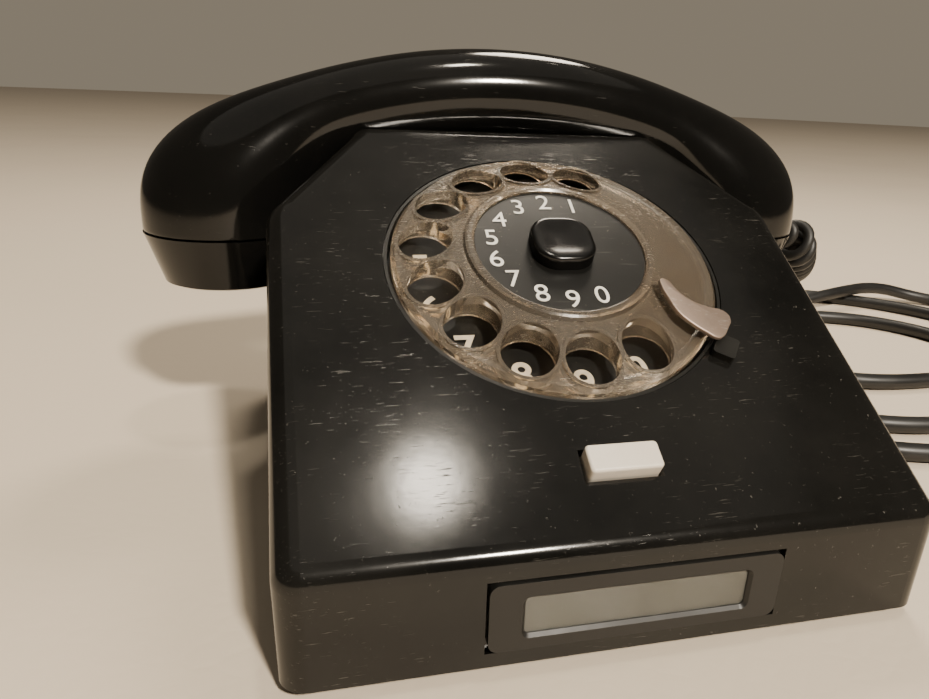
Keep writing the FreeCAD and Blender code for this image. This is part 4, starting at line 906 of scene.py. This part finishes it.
# ---------------------------------------------------------------- housing, key and label
class TELEPHONE_OT_housing(bpy.types.Operator):
    """Finish the housing, its key, its label frame and its feet"""

    bl_idname = "telephone.housing"
    bl_label = "Housing, key and label"

    def execute(self, context):
        coat_node("housing", "housing_black")
        coat_node("base_plate", "frame_black")
        coat_node("base_screws", "steel")
        coat_node("feet", "foot_rubber")
        coat_node("key_cap", "key_white")
        coat_node("label_frame", "frame_black")
        coat_node("label_card", "card")
        coat_node("label_pane", "clear_pane")
        coat_node("cradle_plungers", "knob_black")
        return {"FINISHED"}


class TELEPHONE_OT_inner_parts(bpy.types.Operator):
    """Finish everything inside the housing and the handset"""

    bl_idname = "telephone.inner_parts"
    bl_label = "Inner parts"

    def execute(self, context):
        for slot, names in INNER_FINISHES.items():
            for node in names:
                coat_node(node, slot)
        bare = []
        for name, node in NODES.items():
            finished = node.data.materials and node.data.materials[0] in FINISHES.values()
            if not node.hide_render and not finished:
                bare.append(name)
        if bare:
            raise RuntimeError("no finish for %s" % ", ".join(sorted(bare)))
        return {"FINISHED"}


INNER_FINISHES = {
    "steel": ["dial_clamp_ring", "dial_front_plate", "dial_rear_plate", "dial_pillars", "dial_shaft",
              "governor_drum", "governor_weights", "return_spring", "hook_lever", "hook_pin", "hook_post",
              "ringer_frame", "ringer_cores", "armature_pin", "clapper", "gong_posts", "gong_nuts",
              "induction_core", "key_spring", "terminal_screws"],
    "brass": ["main_gear", "governor_pinion", "pulse_contacts", "key_contacts", "hook_contacts"],
    "copper_wire": ["ringer_coils", "induction_winding"],
    "gong_metal": ["gongs"],
    "capacitor_case": ["capacitor"],
    "phenolic": ["terminal_block", "key_guide", "pulse_cam"],
    "capsule": ["receiver_capsule", "transmitter_capsule"],
}


# ---------------------------------------------------------------- add-on
STEPS = [
    TELEPHONE_OT_stage,
    TELEPHONE_OT_line_cord,
    TELEPHONE_OT_curly_cord,
    TELEPHONE_OT_handset,
    TELEPHONE_OT_dial,
    TELEPHONE_OT_housing,
    TELEPHONE_OT_inner_parts,
]
SETTINGS = {
    "telephone_stage": TelephoneStage,
    "telephone_cords": TelephoneCords,
    "telephone_handset": TelephoneHandset,
    "telephone_dial": TelephoneDial,
}


class TELEPHONE_PT_pieces(bpy.types.Panel):
    """Sizes, colours and pieces of the telephone"""

    bl_idname = "TELEPHONE_PT_pieces"
    bl_label = "Telephone"
    bl_space_type = "VIEW_3D"
    bl_region_type = "UI"
    bl_category = "Telephone"

    def draw(self, context):
        for name in SETTINGS:
            settings = getattr(context.scene, name)
            box = self.layout.box()
            for label in settings.__annotations__:
                box.prop(settings, label)
        for step in STEPS:
            self.layout.operator(step.bl_idname)


def register():
    for kind in [*SETTINGS.values(), *STEPS, TELEPHONE_PT_pieces]:
        bpy.utils.register_class(kind)
    for name, kind in SETTINGS.items():
        setattr(bpy.types.Scene, name, bpy.props.PointerProperty(type=kind))


def unregister():
    for name in SETTINGS:
        delattr(bpy.types.Scene, name)
    for kind in reversed([*SETTINGS.values(), *STEPS, TELEPHONE_PT_pieces]):
        bpy.utils.unregister_class(kind)


def main():
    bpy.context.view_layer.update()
    register()
    for step in STEPS:
        family, action = step.bl_idname.split(".")
        getattr(getattr(bpy.ops, family), action)()
    clear_selection()


if __name__ == "__main__":
    main()
